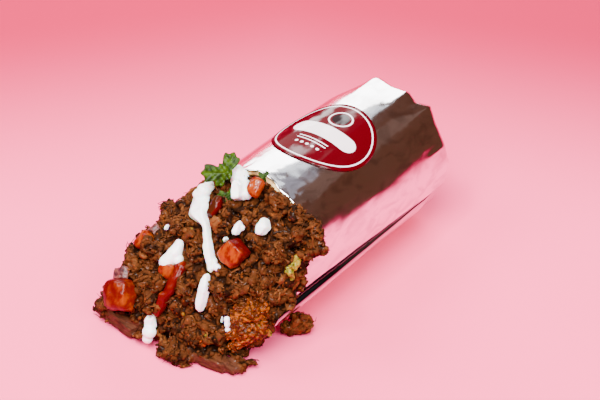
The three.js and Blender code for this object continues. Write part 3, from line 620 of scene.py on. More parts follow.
# %% Tortilla: shape
TORTILLA_SHOWS, TORTILLA_LOWEST = 1.6 * MM, 1.3 * MM
PROFILE_LENGTH = 109.0
PROFILE = [  # share of the way, radius in mm, and how far behind the lip in mm, out of the profile's length
    (0.00, 0.0, 107.0), (0.05, 26.0, 107.0), (0.10, 29.5, 102.0), (0.16, 33.6, 80.0), (0.24, 33.9, 8.0),
    (0.42, 33.9, 1.4), (0.46, 33.5, 0.5), (0.50, 32.6, 0.0), (0.54, 31.8, 0.5), (0.58, 31.4, 1.4),
    (0.76, 31.4, 8.0), (0.84, 31.2, 80.0), (0.90, 27.0, 100.0), (0.95, 24.0, 104.0), (1.00, 0.0, 104.0),
]


def tortilla_edge(turn):
    """How far along the tortilla's lip is: slanted like the foil's edge, ruffled and drawn back."""
    degrees = np.degrees(turn)
    ruffle = 0.8 * np.sin(6 * turn) + 0.6 * np.sin(11 * turn + 2)
    ruffle = ruffle + 5 * hump(degrees, -8, 42) + 4.6 * hump(degrees, 97, 13)
    return MOUTH - TORTILLA_SHOWS + (MOUTH_SLANT / MM * np.sin(turn) + 0.7 * ruffle) * MM


tortilla = new_sheet("tortilla_sheet", 220, 110)
flat = points_of(tortilla)
turn = (flat[:, 0] - 0.5) * 2 * math.pi
way, radius, behind = np.array(PROFILE).T
radius = np.interp(flat[:, 1], way, radius) * MM
share_behind = np.interp(flat[:, 1], way, behind) / PROFILE_LENGTH
along = tortilla_edge(turn) + (FAR_END - 4 * MM - tortilla_edge(turn)) * share_behind
place = on_roll(turn, radius, along, TORTILLA_LOWEST)
shows = smooth_steps(-along, -mouth_edge(turn) - 2.0 * MM, -mouth_edge(turn))
frayed = 0.55 * noise_at(place, 3.5 * MM, 4) + 0.35 * noise_at(place, 1.4 * MM, 5)
push = shows * frayed * MM
place += np.column_stack([push * np.cos(turn), -1.6 * push, push * np.sin(turn)])
set_points(tortilla, place)
outward(tortilla)
bpy.ops.object.shade_smooth()
print("tortilla, mm across:", round(2 * radius.max() / MM, 1))

# %% Tortilla: finish
tortilla_finish = Finish("tortilla", Roughness=0.65, Subsurface_Weight=0.25, Subsurface_Scale=1.5 * MM)
flour = tortilla_finish.noise(2.2 * MM, 4)
toasted = tortilla_finish.noise(6 * MM, 3).mask(0.5, 0.68)
dough = tortilla_finish.mix(colour(205, 158, 92), colour(232, 200, 140), flour.mask(0.35, 0.65))
tortilla_finish.varies("Base Color", tortilla_finish.mix(dough, colour(120, 66, 24), toasted * 0.8))
tortilla_finish.bump(flour, 0.35 * MM, 0.6)
hand_in(tortilla, tortilla_finish, "tortilla", "tortilla")

# %% [markdown]
# ## The beef
# Braised beef pulled into shreds: a dark crumbly mass in clumps, and in each clump the fibres run one
# way. The core keeps the shape of the heap and gets that relief. Strips and crumbs of real meat are
# then laid over it. A strip follows the surface from its middle outwards, so that it drapes over lumps.

# %% Helpers for copies of the model's solids
LOWEST = 0.25 * MM  # small pieces stay this far above the floor


def cad_copy(node, name):
    """A copy of one solid of the model, welded into one skin. The model itself is left alone."""
    piece = bpy.data.objects.new(name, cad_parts[node].data.copy())
    bpy.context.collection.objects.link(piece)
    outward(piece)
    return piece


def add_balls(piece, balls):
    """Joins round lumps to a piece, to be melted into it. Each is a place and a radius in mm."""
    for x, y, z, radius in balls:
        bpy.ops.object.select_all(action="DESELECT")
        bpy.ops.mesh.primitive_ico_sphere_add(subdivisions=3, radius=radius * MM, location=at(x, y, z))
        bpy.ops.object.transform_apply(location=True, rotation=True, scale=True)
        piece.select_set(True)
        bpy.context.view_layer.objects.active = piece
        bpy.ops.object.join()


def resettle(piece, size, shift):
    """Scales a piece about its own middle, then moves it by a shift in mm."""
    points = points_of(piece)
    middle = points.mean(axis=0)
    set_points(piece, (points - middle) * size + middle + np.array(shift) * MM)


def nudge(piece, nudges):
    """Pushes the parts of a piece near a place. Each nudge is a place, a shift and a reach in mm."""
    points = points_of(piece)
    for place, shift, reach in nudges:
        away = np.linalg.norm(points - np.array(at(*place)), axis=1) / (reach * MM)
        points += np.exp(-away ** 2)[:, None] * np.array(shift) * MM
    points[:, 2] = np.maximum(points[:, 2], LOWEST)
    set_points(piece, points)


def swell(piece, heights):
    """Moves each point out along its normal."""
    normals = np.empty(3 * len(piece.data.vertices), np.float32)
    piece.data.vertices.foreach_get("normal", normals)
    set_points(piece, points_of(piece) + normals.reshape(-1, 3) * np.asarray(heights)[:, None])


# %% Beef: clumps and slices
HEAP_CUT = at(0, -31, 0)  # the heap lies before this plane, and beef that nobody sees behind it
CLUMP, STRIP, FIBRE = 7.5 * MM, 2.3 * MM, 1.1 * MM  # how far across they are
DRAWN_OUT = 0.68  # how much strips are longer than wide, from 0 for round ones to 1 for endless ones
SLICES = [  # smooth slices at the front: middle in mm, half sizes in mm, turn in degrees
    ((-36, -92, 5.2), (12, 4.5, 3.6), -14),
    ((11, -88.2, 3.4), (12, 4.0, 2.6), 4),
    ((23, -86, 3), (4.5, 2.2, 1.9), -20),
]


def cut_off(piece, outer):
    """Cuts a piece across the roll near the mouth, closes the cut, and drops one side."""
    pick(piece)
    bpy.ops.object.mode_set(mode="EDIT")
    bpy.ops.mesh.select_all(action="SELECT")
    bpy.ops.mesh.bisect(plane_co=HEAP_CUT, plane_no=(0, 1, 0), use_fill=True, clear_outer=outer,
                        clear_inner=not outer)
    bpy.ops.object.mode_set(mode="OBJECT")


def clump_heading(clump):
    """The way the fibres of a clump run: a direction that belongs to the clump's middle."""
    return (Vector(noise.cell_vector(clump * 57)) * 2 - Vector((1, 1, 1))).normalized()


def sway(place):
    """A soft random shift for a place, between about -1 and 1 each way."""
    return Vector([noise.noise(place + Vector((17.3, 5.9, 11.7)) * turn) for turn in (1, 2, 3)])


def in_slices(points, margin):
    """How far each point lies within one of the smooth slices, from 0 to 1."""
    inside = np.zeros(len(points))
    for middle, half, turned in SLICES:
        away = points - np.array(at(*middle))
        cosine, sine = math.cos(math.radians(turned)), math.sin(math.radians(turned))
        local = np.column_stack([away[:, 0] * cosine + away[:, 1] * sine,
                                 away[:, 1] * cosine - away[:, 0] * sine, away[:, 2]]) / MM
        beyond = np.abs(local) - (np.array(half) + margin)
        inside = np.maximum(inside, 1 - smooth_steps(beyond.max(axis=1), -0.8, 0.4))
    return inside


# %% Beef: relief


def pulled(piece, depth):
    """Gives a piece of beef its relief: clumps of torn meat, gaps between them, and fibres along them."""
    points = points_of(piece)
    heights, lows = np.empty(len(points)), np.empty(len(points))
    for index, point in enumerate(points):
        place = Vector(point)
        bent = place + sway(place / (4 * MM)) * 1.4 * MM
        reach, clumps = noise.voronoi(bent / CLUMP)
        heading = clump_heading(clumps[0])
        drawn_out = bent - heading * (heading.dot(bent) * DRAWN_OUT)
        strip, _ = noise.voronoi(drawn_out / STRIP)
        fibres = 1 - abs(noise.noise(drawn_out / FIBRE)) * 2.2
        gap = min((reach[1] - reach[0]) / 0.2, 1)
        strip_gap = min((strip[1] - strip[0]) / 0.4, 1)
        lows[index] = 1 - gap * (0.4 + 0.6 * strip_gap)
        heights[index] = 1.3 * (gap - 1) + 0.8 * (strip_gap - 0.7) + 0.2 * fibres + 0.5 * (0.5 - reach[0])
    smooth_here = in_slices(points, 0.7)
    sliced = 0.15 * noise_at(points * (0.3, 1, 1), 1.2 * MM, 6)
    heights = heights * (1 - smooth_here) + sliced * smooth_here
    # how deep each point lies in a gap: used for the painted shade there, and to keep strips out of the
    # gaps
    store(piece, "low", lows * (1 - smooth_here))
    store(piece, "sliced", smooth_here)
    swell(piece, heights * depth)


# %% Beef: the core
HEAP_LUMPS = [  # places and radii in mm
    # crumbly lumps on the floor at the front, and the torn tips of the right slice
    (-8.5, -96.0, 3.4, 3.4), (-4.5, -96.3, 3.6, 4.0), (0.5, -96.3, 3.4, 3.8), (4.2, -94.0, 3.4, 3.6),
    (-2.0, -91.5, 5.0, 5.0), (28.5, -79.5, 3.5, 2.2), (30.2, -77.5, 3.0, 1.6), (27.5, -84.0, 3.2, 2.2),
    (25.3, -82.0, 3.0, 3.0), (22.6, -82.0, 3.4, 3.0), (26.6, -80.3, 2.9, 2.8),
    # meat that swells over the right-hand edge of the mouth, and small lumps under the toppings
    (11.8, -41.0, 66.2, 3.4), (15.2, -41.0, 64.2, 3.8), (20.6, -41.0, 62.6, 4.0), (26.0, -41.0, 61.4, 4.2),
    (31.0, -41.2, 60.2, 4.2), (34.8, -41.4, 59.6, 3.8), (38.5, -43.5, 57.2, 3.8), (-30.6, -77.6, 40.4, 4.0),
    (-16.5, -85.5, 30.0, 4.6), (-17.5, -90.5, 21.0, 4.0),
]
HEAP_NUDGES = [  # a place, a shift and a reach in mm
    ((42, -45, 50), (-0.5, 1.0, 3.0), 8), ((-47, -93, 5), (-3.4, -0.8, 0), 8),
    ((-11.5, -85, 30), (-1.5, 1.9, -1.7), 5),
]
LUMP_NUDGES = [((31, -47, 5), (-0.8, 2.0, 0.3), 40)]
LUMP_SIZE, LUMP_SHIFT = 0.9, (-0.6, -0.4, -0.5)
heap = cad_copy("filling", "beef_heap")
cut_off(heap, outer=True)
add_balls(heap, HEAP_LUMPS)
modify(heap, "REMESH", mode="VOXEL", voxel_size=0.62 * MM)
modify(heap, "SMOOTH", factor=0.5, iterations=3)
pulled(heap, 1.5 * MM)
nudge(heap, HEAP_NUDGES)
pick(heap)
bpy.ops.object.shade_smooth()
inner_beef = cad_copy("filling", "beef_inside")
cut_off(inner_beef, outer=False)
loose_lump = cad_copy("beef_crumb", "loose_lump")
modify(loose_lump, "REMESH", mode="VOXEL", voxel_size=0.5 * MM)
pulled(loose_lump, 1.1 * MM)
nudge(loose_lump, LUMP_NUDGES)
resettle(loose_lump, LUMP_SIZE, LUMP_SHIFT)
pick(loose_lump)
bpy.ops.object.shade_smooth()
print("heap points:", len(heap.data.vertices))

# %% [markdown]
# Strips and crumbs of meat are scattered over the core. They keep clear of the toppings, the tortilla
# and the foil, so that nothing shows through another piece, and only few of them lie in the gaps.

# %% Beef: where strips may lie


def tree_of(*pieces):
    """A search tree over the faces of one or more pieces."""
    corners, faces = [], []
    for piece in pieces:
        start = len(corners)
        corners.extend(vertex.co.copy() for vertex in piece.data.vertices)
        faces.extend([start + corner for corner in face.vertices] for face in piece.data.polygons)
    return BVHTree.FromPolygons(corners, faces)


# the second number lifts the tint of strips on the loose lump: painted light, to offset the shadow it lies
# in
OVER_BEEF = [(heap, 0.97, 0.0), (loose_lump, 0.03, 0.25)]  # share of the strips, and how much lighter
BEEF_TOUCHES = ("filling", "beef_crumb", "label", "seasoned_rice", "lettuce_1", "lettuce_2", "tomato_4")
OTHER_FOOD = [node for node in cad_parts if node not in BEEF_TOUCHES]
keep_off = tree_of(*(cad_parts[node] for node in OTHER_FOOD))


def surface_places(piece, count, rng):
    """Random places on a surface, evenly spread, but few of them down in its gaps."""
    mesh = piece.data
    mesh.calc_loop_triangles()
    corners = np.empty(3 * len(mesh.loop_triangles), np.int32)
    mesh.loop_triangles.foreach_get("vertices", corners)
    a, b, c = (points_of(piece)[corners.reshape(-1, 3)[:, k]] for k in range(3))
    normals = np.cross(b - a, c - a)
    areas = np.linalg.norm(normals, axis=1)
    likely = areas.copy()
    if "low" in mesh.attributes:
        low = np.empty(len(mesh.vertices), np.float32)
        mesh.attributes["low"].data.foreach_get("value", low)
        likely *= np.clip(1.15 - low[corners.reshape(-1, 3)].mean(axis=1), 0.05, 1) ** 2
    chosen = rng.choice(len(areas), count, p=likely / likely.sum())
    first, second = rng.random((2, count, 1))
    flip = first + second > 1
    first, second = np.where(flip, 1 - first, first), np.where(flip, 1 - second, second)
    places = a[chosen] + first * (b - a)[chosen] + second * (c - a)[chosen]
    return places, normals[chosen] / areas[chosen][:, None]


def clump_shade(place):
    """How light the meat is hereabouts, from about 0.2 to 0.8."""
    return 0.5 + 0.5 * noise.noise(Vector(place) / (6 * MM))


def clear_of_others(place, gap):
    """Whether a place is at least this far from the toppings, the tortilla and the foil."""
    return keep_off.find_nearest(Vector(place), gap)[0] is None


def joined(name, points, faces, tints, strands):
    """One mesh from many small ones, with a tint and a place along the strand for each point."""
    mesh = bpy.data.meshes.new(name)
    mesh.from_pydata(points.tolist(), [], faces)
    piece = bpy.data.objects.new(name, mesh)
    bpy.context.collection.objects.link(piece)
    store(piece, "tint", tints)
    store(piece, "strand", strands)
    pick(piece)
    bpy.ops.object.shade_smooth()
    return piece


# %% [markdown]
# A strip is a tapered tube of small rings, because torn meat is uneven round as well as along. It lies
# on the core along the fibres of its clump, curves a little, and lifts at one end.

# %% Beef: strips


def strip_path(search, place, out, steps, length, lift, rng):
    """Where one strip lies at each step, and which way is out of the meat there."""
    spread = Vector(rng.normal(0, 0.35, 3))
    heading = clump_heading(noise.voronoi(place / CLUMP)[1][0]) + spread
    heading = (heading - out * heading.dot(out)).normalized()
    reach = rng.uniform(*length) * MM
    curl = heading.cross(out) * rng.normal(0, 0.7)
    tip = rng.uniform(0, 1) ** 2 * lift * 3.5 * MM
    lifted_end = rng.choice((-1, 1))
    path, outs = [], []
    for step in steps:
        target = place + (heading * step + curl * step * step) * reach
        near, near_out, *_ = search.find_nearest(target)
        spot = near + near_out * (lift * MM + max(0, step * 2 * lifted_end) ** 2 * tip)
        spot.z = max(spot.z, 0.5 * MM)
        path.append(spot)
        outs.append(near_out)
    return path, outs


def tube_points(paths, outs, widths, steps, around, rng):
    """The points of many flattened tubes, rough all over and narrower at their ends."""
    ahead = np.gradient(paths, axis=1)
    ahead /= np.linalg.norm(ahead, axis=2, keepdims=True) + 1e-9
    aside = np.cross(ahead, outs)
    aside /= np.linalg.norm(aside, axis=2, keepdims=True) + 1e-9
    up = np.cross(aside, ahead)
    taper = (1 - np.abs(2 * steps) ** 3 * 0.75)[None, :, None]
    rough = rng.uniform(0.62, 1.25, (len(paths), len(steps), len(around)))
    half = widths[:, None, None] / 2 * taper * rough
    flatness = rng.uniform(0.5, 0.9, (len(paths), 1, 1))
    points = (paths[:, :, None] + aside[:, :, None] * (half * np.cos(around))[..., None]
              + up[:, :, None] * (half * flatness * np.sin(around))[..., None])
    points[..., 2] = np.maximum(points[..., 2], LOWEST)
    return points.reshape(-1, 3)


def tube_faces(amount, rings, sides):
    """The faces of as many closed tubes: squares from ring to ring, and a cap at each end."""
    faces = []
    for start in range(0, amount * rings * sides, rings * sides):
        last = start + (rings - 1) * sides
        for low in range(start, last, sides):
            for side in range(sides):
                following = (side + 1) % sides
                faces.append((low + side, low + following, low + sides + following, low + sides + side))
        faces.append(tuple(range(start + sides - 1, start - 1, -1)))
        faces.append(tuple(range(last, last + sides)))
    return faces


def draped(name, count, length, width, sides, rings, lift, seed):
    """Strips of meat over the heap and the loose lump. Length, width and lift are in mm."""
    rng = np.random.default_rng(seed)
    steps = np.linspace(-0.5, 0.5, rings)
    around = np.arange(sides) / sides * 2 * math.pi
    paths, outs, widths, shades = [], [], [], []
    for skin, share, painted_light in OVER_BEEF:
        search = tree_of(skin)
        places, normals = surface_places(skin, int(count * share), rng)
        for place, normal in zip(places, normals):
            path, path_outs = strip_path(search, Vector(place), Vector(normal), steps, length, lift, rng)
            if in_slices(np.array([path[0], path[-1]]), 1.5).max() > 0.3:
                continue
            if not all(clear_of_others(spot, 0.9 * MM) for spot in path[::2] + path[-1:]):
                continue
            paths.append(path)
            outs.append(path_outs)
            widths.append(rng.uniform(*width) * MM)
            shades.append(clump_shade(place) + painted_light + rng.normal(0, 0.2))
    points = tube_points(np.array(paths), np.array(outs), np.array(widths), steps, around, rng)
    tints = np.repeat(shades, rings * sides)
    lengthwise = np.tile(np.repeat(steps, sides), len(paths))
    sideways = np.tile(around / math.pi, len(paths) * rings)
    strands = np.column_stack([lengthwise * 2, sideways * 3, tints * 40])
    return joined(name, points, tube_faces(len(paths), rings, sides), tints, strands)


# name, how many at most, length and width in mm, sides, rings, height over the meat in mm, and seed
strips = [
    draped("beef_chunks", 640, (4, 9.5), (2.2, 4.0), 8, 8, 0.25, 21),
    draped("beef_shreds", 2000, (3.5, 9), (0.9, 1.9), 6, 7, 0.35, 24),
    draped("beef_threads", 800, (5, 12), (0.4, 0.8), 4, 8, 0.7, 22),
]
print("points of strips:", [len(piece.data.vertices) for piece in strips])

# %% [markdown]
# Crumbs fill in between the strips. Each is a small pebble, pulled out of shape and half sunk in the
# meat. A few are bits of herb and pepper, in a colour of their own.

# %% Beef: crumbs
ODD_TINT = 2.0


def pattern(add, **settings):
    """The points and faces of a simple solid of radius 1, to be copied many times."""
    bpy.ops.object.select_all(action="DESELECT")
    add(radius=1, **settings)
    solid = bpy.context.object
    shape, shell = points_of(solid), [tuple(face.vertices) for face in solid.data.polygons]
    bpy.data.objects.remove(solid)
    return shape, shell


def repeated(name, copies, shell, tints, strand):
    """One mesh from many placed copies of a pattern, each with its own tint."""
    amount = len(copies[0])
    starts = range(0, len(copies) * amount, amount)
    faces = [tuple(start + corner for corner in face) for start in starts for face in shell]
    tints = np.repeat(tints, amount)
    return joined(name, np.concatenate(copies), faces, tints, tints[:, None] * strand)


def crumbled(name, count, size, seed):
    """Small torn crumbs over the heap and the loose lump. Size is in mm."""
    rng = np.random.default_rng(seed)
    shape, shell = pattern(bpy.ops.mesh.primitive_ico_sphere_add, subdivisions=1)
    copies, tints = [], []
    for skin, share, painted_light in OVER_BEEF:
        places, normals = surface_places(skin, int(count * share), rng)
        for place, normal in zip(places, normals):
            half = rng.uniform(*size) / 2 * MM
            middle = place + normal * half * rng.uniform(0.2, 0.9)
            if middle[2] < 0.9 * MM or not clear_of_others(middle, half + 0.4 * MM):
                continue
            if in_slices(middle[None], 1.0)[0] > 0.3 and rng.random() < 0.97:
                continue
            turned = Matrix.Rotation(rng.uniform(0, 6.28), 3, Vector(rng.normal(size=3)))
            rough = shape * rng.uniform(0.7, 1.3, (len(shape), 1)) * rng.uniform(0.55, 1.3, 3)
            placed = rough @ np.array(turned) * half + middle
            placed[:, 2] = np.maximum(placed[:, 2], LOWEST)
            copies.append(placed)
            usual = rng.random() > 0.025
            tints.append(clump_shade(place) + painted_light + rng.normal(0, 0.15) if usual else ODD_TINT)
    return repeated(name, copies, shell, tints, (9, 17, 40))


crumbs = crumbled("beef_crumbs", 1700, (0.8, 2.4), 23)
print("points of crumbs:", len(crumbs.data.vertices))

# %% [markdown]
# Cooked beef is dark brown with a moist, broken shine. Each strip has its own tint, from near black to
# a lighter red-brown, and thin fibre lines along it. The gaps between clumps are painted almost black,
# as painted shade, and spiced fat leaves orange spots here and there.

# %% Beef: finish of the core
# near black: painted shade in the gaps between clumps, and the fibre lines on the strips
GAP_SHADE_AND_FIBRE_DARK = colour(27, 10, 3)
LIGHT_BROWN, ORANGE_FAT = colour(98, 58, 28), colour(132, 58, 10)


def beef_finish(name):
    """A finish with a moist, broken shine, and the small spots that vary its colour."""
    finish = Finish(name, Roughness=0.7, Specular_IOR_Level=0.03, Coat_Roughness=0.12)
    spots = finish.noise(1.1 * MM, 3)
    finish.varies("Coat Weight", finish.noise(2.3 * MM, 3).mask(0.55, 0.62) * 0.22)
    return finish, spots


def core_beef(name, brown):
    """The finish of the beef under the strips: its brown, painted shade in its gaps, and its smooth slices.
    """
    finish, spots = beef_finish(name)
    patches = finish.noise(5 * MM, 3)
    meat = finish.mix(brown, LIGHT_BROWN, patches.mask(0.45, 0.75) * spots.mask(0.4, 0.7))
    # painted shade: the core turns near black down in the gaps between clumps
    meat = finish.mix(meat, GAP_SHADE_AND_FIBRE_DARK, finish.attribute("low").mask(0.35, 0.85))
    meat = finish.mix(meat, ORANGE_FAT, patches.mask(0.6, 0.72) * spots.mask(0.5, 0.62) * 0.55)
    grain = finish.noise(0.7 * MM, 3, finish.stretched(finish.place(), (0.12, 1, 1)))
    slab = finish.mix(colour(47, 23, 14), colour(76, 41, 27), grain.mask(0.3, 0.7))
    finish.varies("Base Color", finish.mix(meat, slab, finish.attribute("sliced")))
    finish.bump(spots, 0.25 * MM, 0.7)
    return finish


core_finish = core_beef("beef", colour(66, 32, 12))
hand_in(heap, core_finish, "beef", "filling")
hand_in(inner_beef, core_finish, "beef", "filling")
# painted light: the loose lump gets a lighter brown than the heap, to offset the shadow it lies in
hand_in(loose_lump, core_beef("beef_painted_light", colour(84, 52, 23)), "beef", "beef_crumb")

# %% Beef: finish of the strips and crumbs
strip_finish, spots = beef_finish("beef_strips")
tint = strip_finish.attribute("tint")
lines = strip_finish.noise(0.25, 2, strip_finish.attribute("strand", "Vector"))
meat = strip_finish.mix(colour(28, 13, 5), colour(70, 36, 15), tint.mask(0.1, 0.6))
meat = strip_finish.mix(meat, colour(98, 56, 26), tint.mask(0.65, 1.0))
meat = strip_finish.mix(meat, GAP_SHADE_AND_FIBRE_DARK, lines.mask(0.55, 0.75) * 0.6)
meat = strip_finish.mix(meat, ORANGE_FAT, spots.mask(0.6, 0.7) * 0.6)
herb_or_pepper = strip_finish.noise(6 * MM).mask(0.45, 0.55)
odd_bits = strip_finish.mix(colour(92, 76, 20), colour(122, 42, 8), herb_or_pepper)
odd = tint.mask(ODD_TINT - 0.4, ODD_TINT - 0.2)
strip_finish.varies("Base Color", strip_finish.mix(meat, odd_bits, odd))
strip_finish.bump(lines, 0.12 * MM, 0.5)
for piece in (*strips, crumbs):
    hand_in(piece, strip_finish, "beef", "filling", "beef_crumb")

# %% [markdown]
# ## Sour cream
# Each run of cream is a soft copy of its solid: the solid is turned into small even squares, smoothed
# and given a slightly wavy edge. Where a run spreads further, a row of balls is melted into it. Cream is
# dense white with a little light under its skin, and glossy.

# %% Helpers for soft pieces
UNMOVED = (1, (0, 0, 0))  # size and shift


def stroke(path, first, last, count):
    """A row of balls along a bent path, whose radius goes from first to last."""
    shares = np.linspace(0, 1, count)
    ways = np.linspace(0, 1, len(path))
    x, y, z = (np.interp(shares, ways, [point[axis] for point in path]) for axis in range(3))
    return list(zip(x, y, z, first + (last - first) * shares))


def soft_copy(node, name, voxel, smoothing, waves, seed, balls=(), settled=UNMOVED):
    """A rounded copy of a solid. Waves are pairs: how high, and how far across, in mm."""
    piece = cad_copy(node, name)
    resettle(piece, *settled)
    add_balls(piece, balls)
    modify(piece, "REMESH", mode="VOXEL", voxel_size=voxel * MM)
    modify(piece, "SMOOTH", factor=0.5, iterations=smoothing)
    points = points_of(piece)
    swell(piece, sum(high * noise_at(points, wide * MM, seed) for high, wide in waves) * MM)
    pick(piece)
    bpy.ops.object.shade_smooth()
    return piece


def nodes_named(start):
    """The names of the model's nodes of one kind, in order."""
    return [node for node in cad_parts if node.startswith(start)]


# %% Sour cream
CREAM_BLOBS = {  # where a run of cream spreads a little further: places and radii in mm
    "sour_cream_1": [(-8.9, -40.1, 70.1, 3.4), (-7.0, -41.6, 67.8, 3.8)]
    + stroke([(-6.6, -39.6, 69.7), (-3.1, -42.5, 66.8), (0.7, -45.8, 64.9)], 2.7, 2.5, 8),
    "sour_cream_2": [(-19.0, -48.2, 62.8, 2.7), (-20.2, -50.4, 60.8, 3.3), (-22.4, -52.4, 58.6, 2.7),
                     (-20.6, -51.4, 59.4, 3.2), (4.2, -70.8, 40.6, 1.8), (0.8, -69.2, 41.4, 2.0)],
    "sour_cream_5": [(-16.2, -95.6, 9.5, 3.1), (-16.6, -96.4, 6.0, 2.6)],
    "sour_cream_7": [(6.4, -56.0, 55.0, 1.7)],
    "sour_cream_3": stroke([(-17.4, -72.4, 44.8), (-18.0, -75.5, 41.8), (-19.6, -78.6, 37.6)], 2.2, 3.5, 8)
    + [(-15.2, -76.4, 38.9, 2.6)],
    "sour_cream_10": [(16.5, -79.4, 22.7, 1.7), (17.2, -80.2, 20.9, 1.7), (17.8, -80.7, 18.6, 1.4)],
}
CREAM_PLACES = {"sour_cream_10": (0.62, (0.9, 0.1, -2.2))}  # size, and shift in mm
CREAM_NUDGES = {  # where a run is narrower or wider: a place, a shift and a reach in mm
    "sour_cream_1": [((-0.3, -50.8, 62.5), (-0.8, 1.0, 1.8), 3.5)],
    "sour_cream_2": [((-12.2, -65.5, 51.0), (2.6, 2.0, 0.2), 4.5), ((-9.0, -67.8, 45.5), (1.2, 0.9, 0), 4)],
    "sour_cream_3": [((-17.0, -76.0, 40.5), (1.4, 1.1, 0), 5)],
}
cream_finish = Finish("sour_cream", Base_Color=colour(252, 252, 249), Roughness=0.22,
                      Subsurface_Weight=0.6, Subsurface_Scale=1.2 * MM)
cream_finish.bump(cream_finish.noise(1.6 * MM, 2), 0.15 * MM, 0.4)
for index, node in enumerate(nodes_named("sour_cream")):
    cream = soft_copy(node, f"cream_{index}", 0.4, 5, [(0.5, 5.0), (0.15, 1.6)], index + 30,
                      CREAM_BLOBS.get(node, ()), CREAM_PLACES.get(node, UNMOVED))
    nudge(cream, CREAM_NUDGES.get(node, ()))
    hand_in(cream, cream_finish, "sour_cream", node)

# %% [markdown]
# ## Tomato
# Diced tomato has a deep red skin on one side, and orange-red flesh with lighter streaks where it is cut.
# It is wet, so every side has a sharp shine. How much of a side is flesh is kept for each point.

# %% Tomato
TOMATO_SIDES = {  # the way the cut side faces, how orange the piece is, its size, and its shift in mm
    "tomato_1": ((0.8, -0.3, 0.3), -0.15, 1.0, (0.6, 0, -0.6)),
    "tomato_2": ((-0.3, -0.9, -0.2), 0.1, 0.86, (0.8, 0.6, 0.0)),
    "tomato_3": ((0.2, -0.3, 1.0), 0.4, 0.85, (-0.6, 4.4, 2.0)),
    "tomato_4": ((0, 0, 1), -0.25, 1.0, (3.2, 2.2, 0.3)),
    "tomato_5": ((0.5, -0.6, 0.6), 0.5, 0.8, (-1.3, 1.7, 3.6)),
    "tomato_6": ((0, 0, 1), 0.1, 0.9, (-1.4, 3.2, -2.2)),
    "tomato_7": ((1, 0, 0), -0.9, 1.0, (0, 0, -0.6)),
}
TAIL = [  # the long red tail that hangs from the orange block, in mm
    (-12.0, -76.8, 36.6), (-11.7, -80.5, 33.8), (-11.8, -84.0, 30.3), (-12.8, -86.9, 26.0),
    (-14.2, -89.3, 21.4),
]
TOMATO_BALLS = {"tomato_4": stroke(TAIL, 3.5, 2.1, 16)}
tomato_finish = Finish("tomato", Roughness=0.5, Specular_IOR_Level=0.02, Coat_Weight=0.2,
                       Coat_Roughness=0.05, Subsurface_Weight=0.1, Subsurface_Scale=1.0 * MM)
flesh = tomato_finish.attribute("flesh")
drawn_out = tomato_finish.stretched(tomato_finish.place(), (1, 0.35, 0.5))
streaks = tomato_finish.noise(2.2 * MM, 3, drawn_out)
pulp = tomato_finish.mix(colour(90, 9, 0), colour(124, 46, 0), streaks.mask(0.38, 0.6))
skin = tomato_finish.mix(colour(50, 16, 4), colour(74, 3, 2), flesh.mask(-0.5, -0.2))
tomato_finish.varies("Base Color", tomato_finish.mix(skin, pulp, flesh.mask(0.25, 0.75)))
tomato_finish.bump(streaks, 0.3 * MM, 0.5)
for index, node in enumerate(nodes_named("tomato")):
    facing, orange, size, shift = TOMATO_SIDES[node]
    tomato = soft_copy(node, f"dice_{index}", 0.45, 26, [(0.9, 5.5), (0.15, 1.4)], index + 50,
                       TOMATO_BALLS.get(node, ()), (size, shift))
    normals = np.array([vertex.normal for vertex in tomato.data.vertices])
    cut = normals @ np.array(Vector(facing).normalized())
    patches = 0.25 * noise_at(points_of(tomato), 3 * MM, index)
    store(tomato, "flesh", 0.35 + 0.45 * cut + orange + patches)
    hand_in(tomato, tomato_finish, "tomato", node)

# %% [markdown]
# ## Onion and lettuce
# Thin wet slices, made like the cream but with sharper waves. The onion is glassy, in purple-grey and
# pink layers, and the lettuce pale green turning yellow at its rib.

# %% Onion
SLICE_PLACES = {  # size, and shift in mm
    "onion_1": (0.95, (0.6, 0.8, -3.0)), "onion_2": (0.85, (0.6, 0.9, -2.2)),
    "lettuce_1": (1.0, (1.6, 1.2, 0.6)), "lettuce_2": (0.72, (2.4, 4.0, 5.0)),
}
onion_finish = Finish("onion", Roughness=0.35, Specular_IOR_Level=0.1, Coat_Weight=0.15,
                      Coat_Roughness=0.08, Subsurface_Weight=0.3, Subsurface_Scale=2 * MM)
layers = onion_finish.noise(1.5 * MM, 2, onion_finish.stretched(onion_finish.place(), (0.3, 1, 1)))
onion_finish.varies("Base Color", onion_finish.mix(colour(98, 54, 50), colour(54, 24, 28),
                                                   layers.mask(0.4, 0.7)))
onion_finish.bump(layers, 0.2 * MM, 0.5)
for index, node in enumerate(nodes_named("onion")):
    onion = soft_copy(node, f"onion_slice_{index}", 0.35, 3, [(0.4, 3.0), (0.15, 1.0)], index + 70, (),
                      SLICE_PLACES[node])
    hand_in(onion, onion_finish, "onion", node)

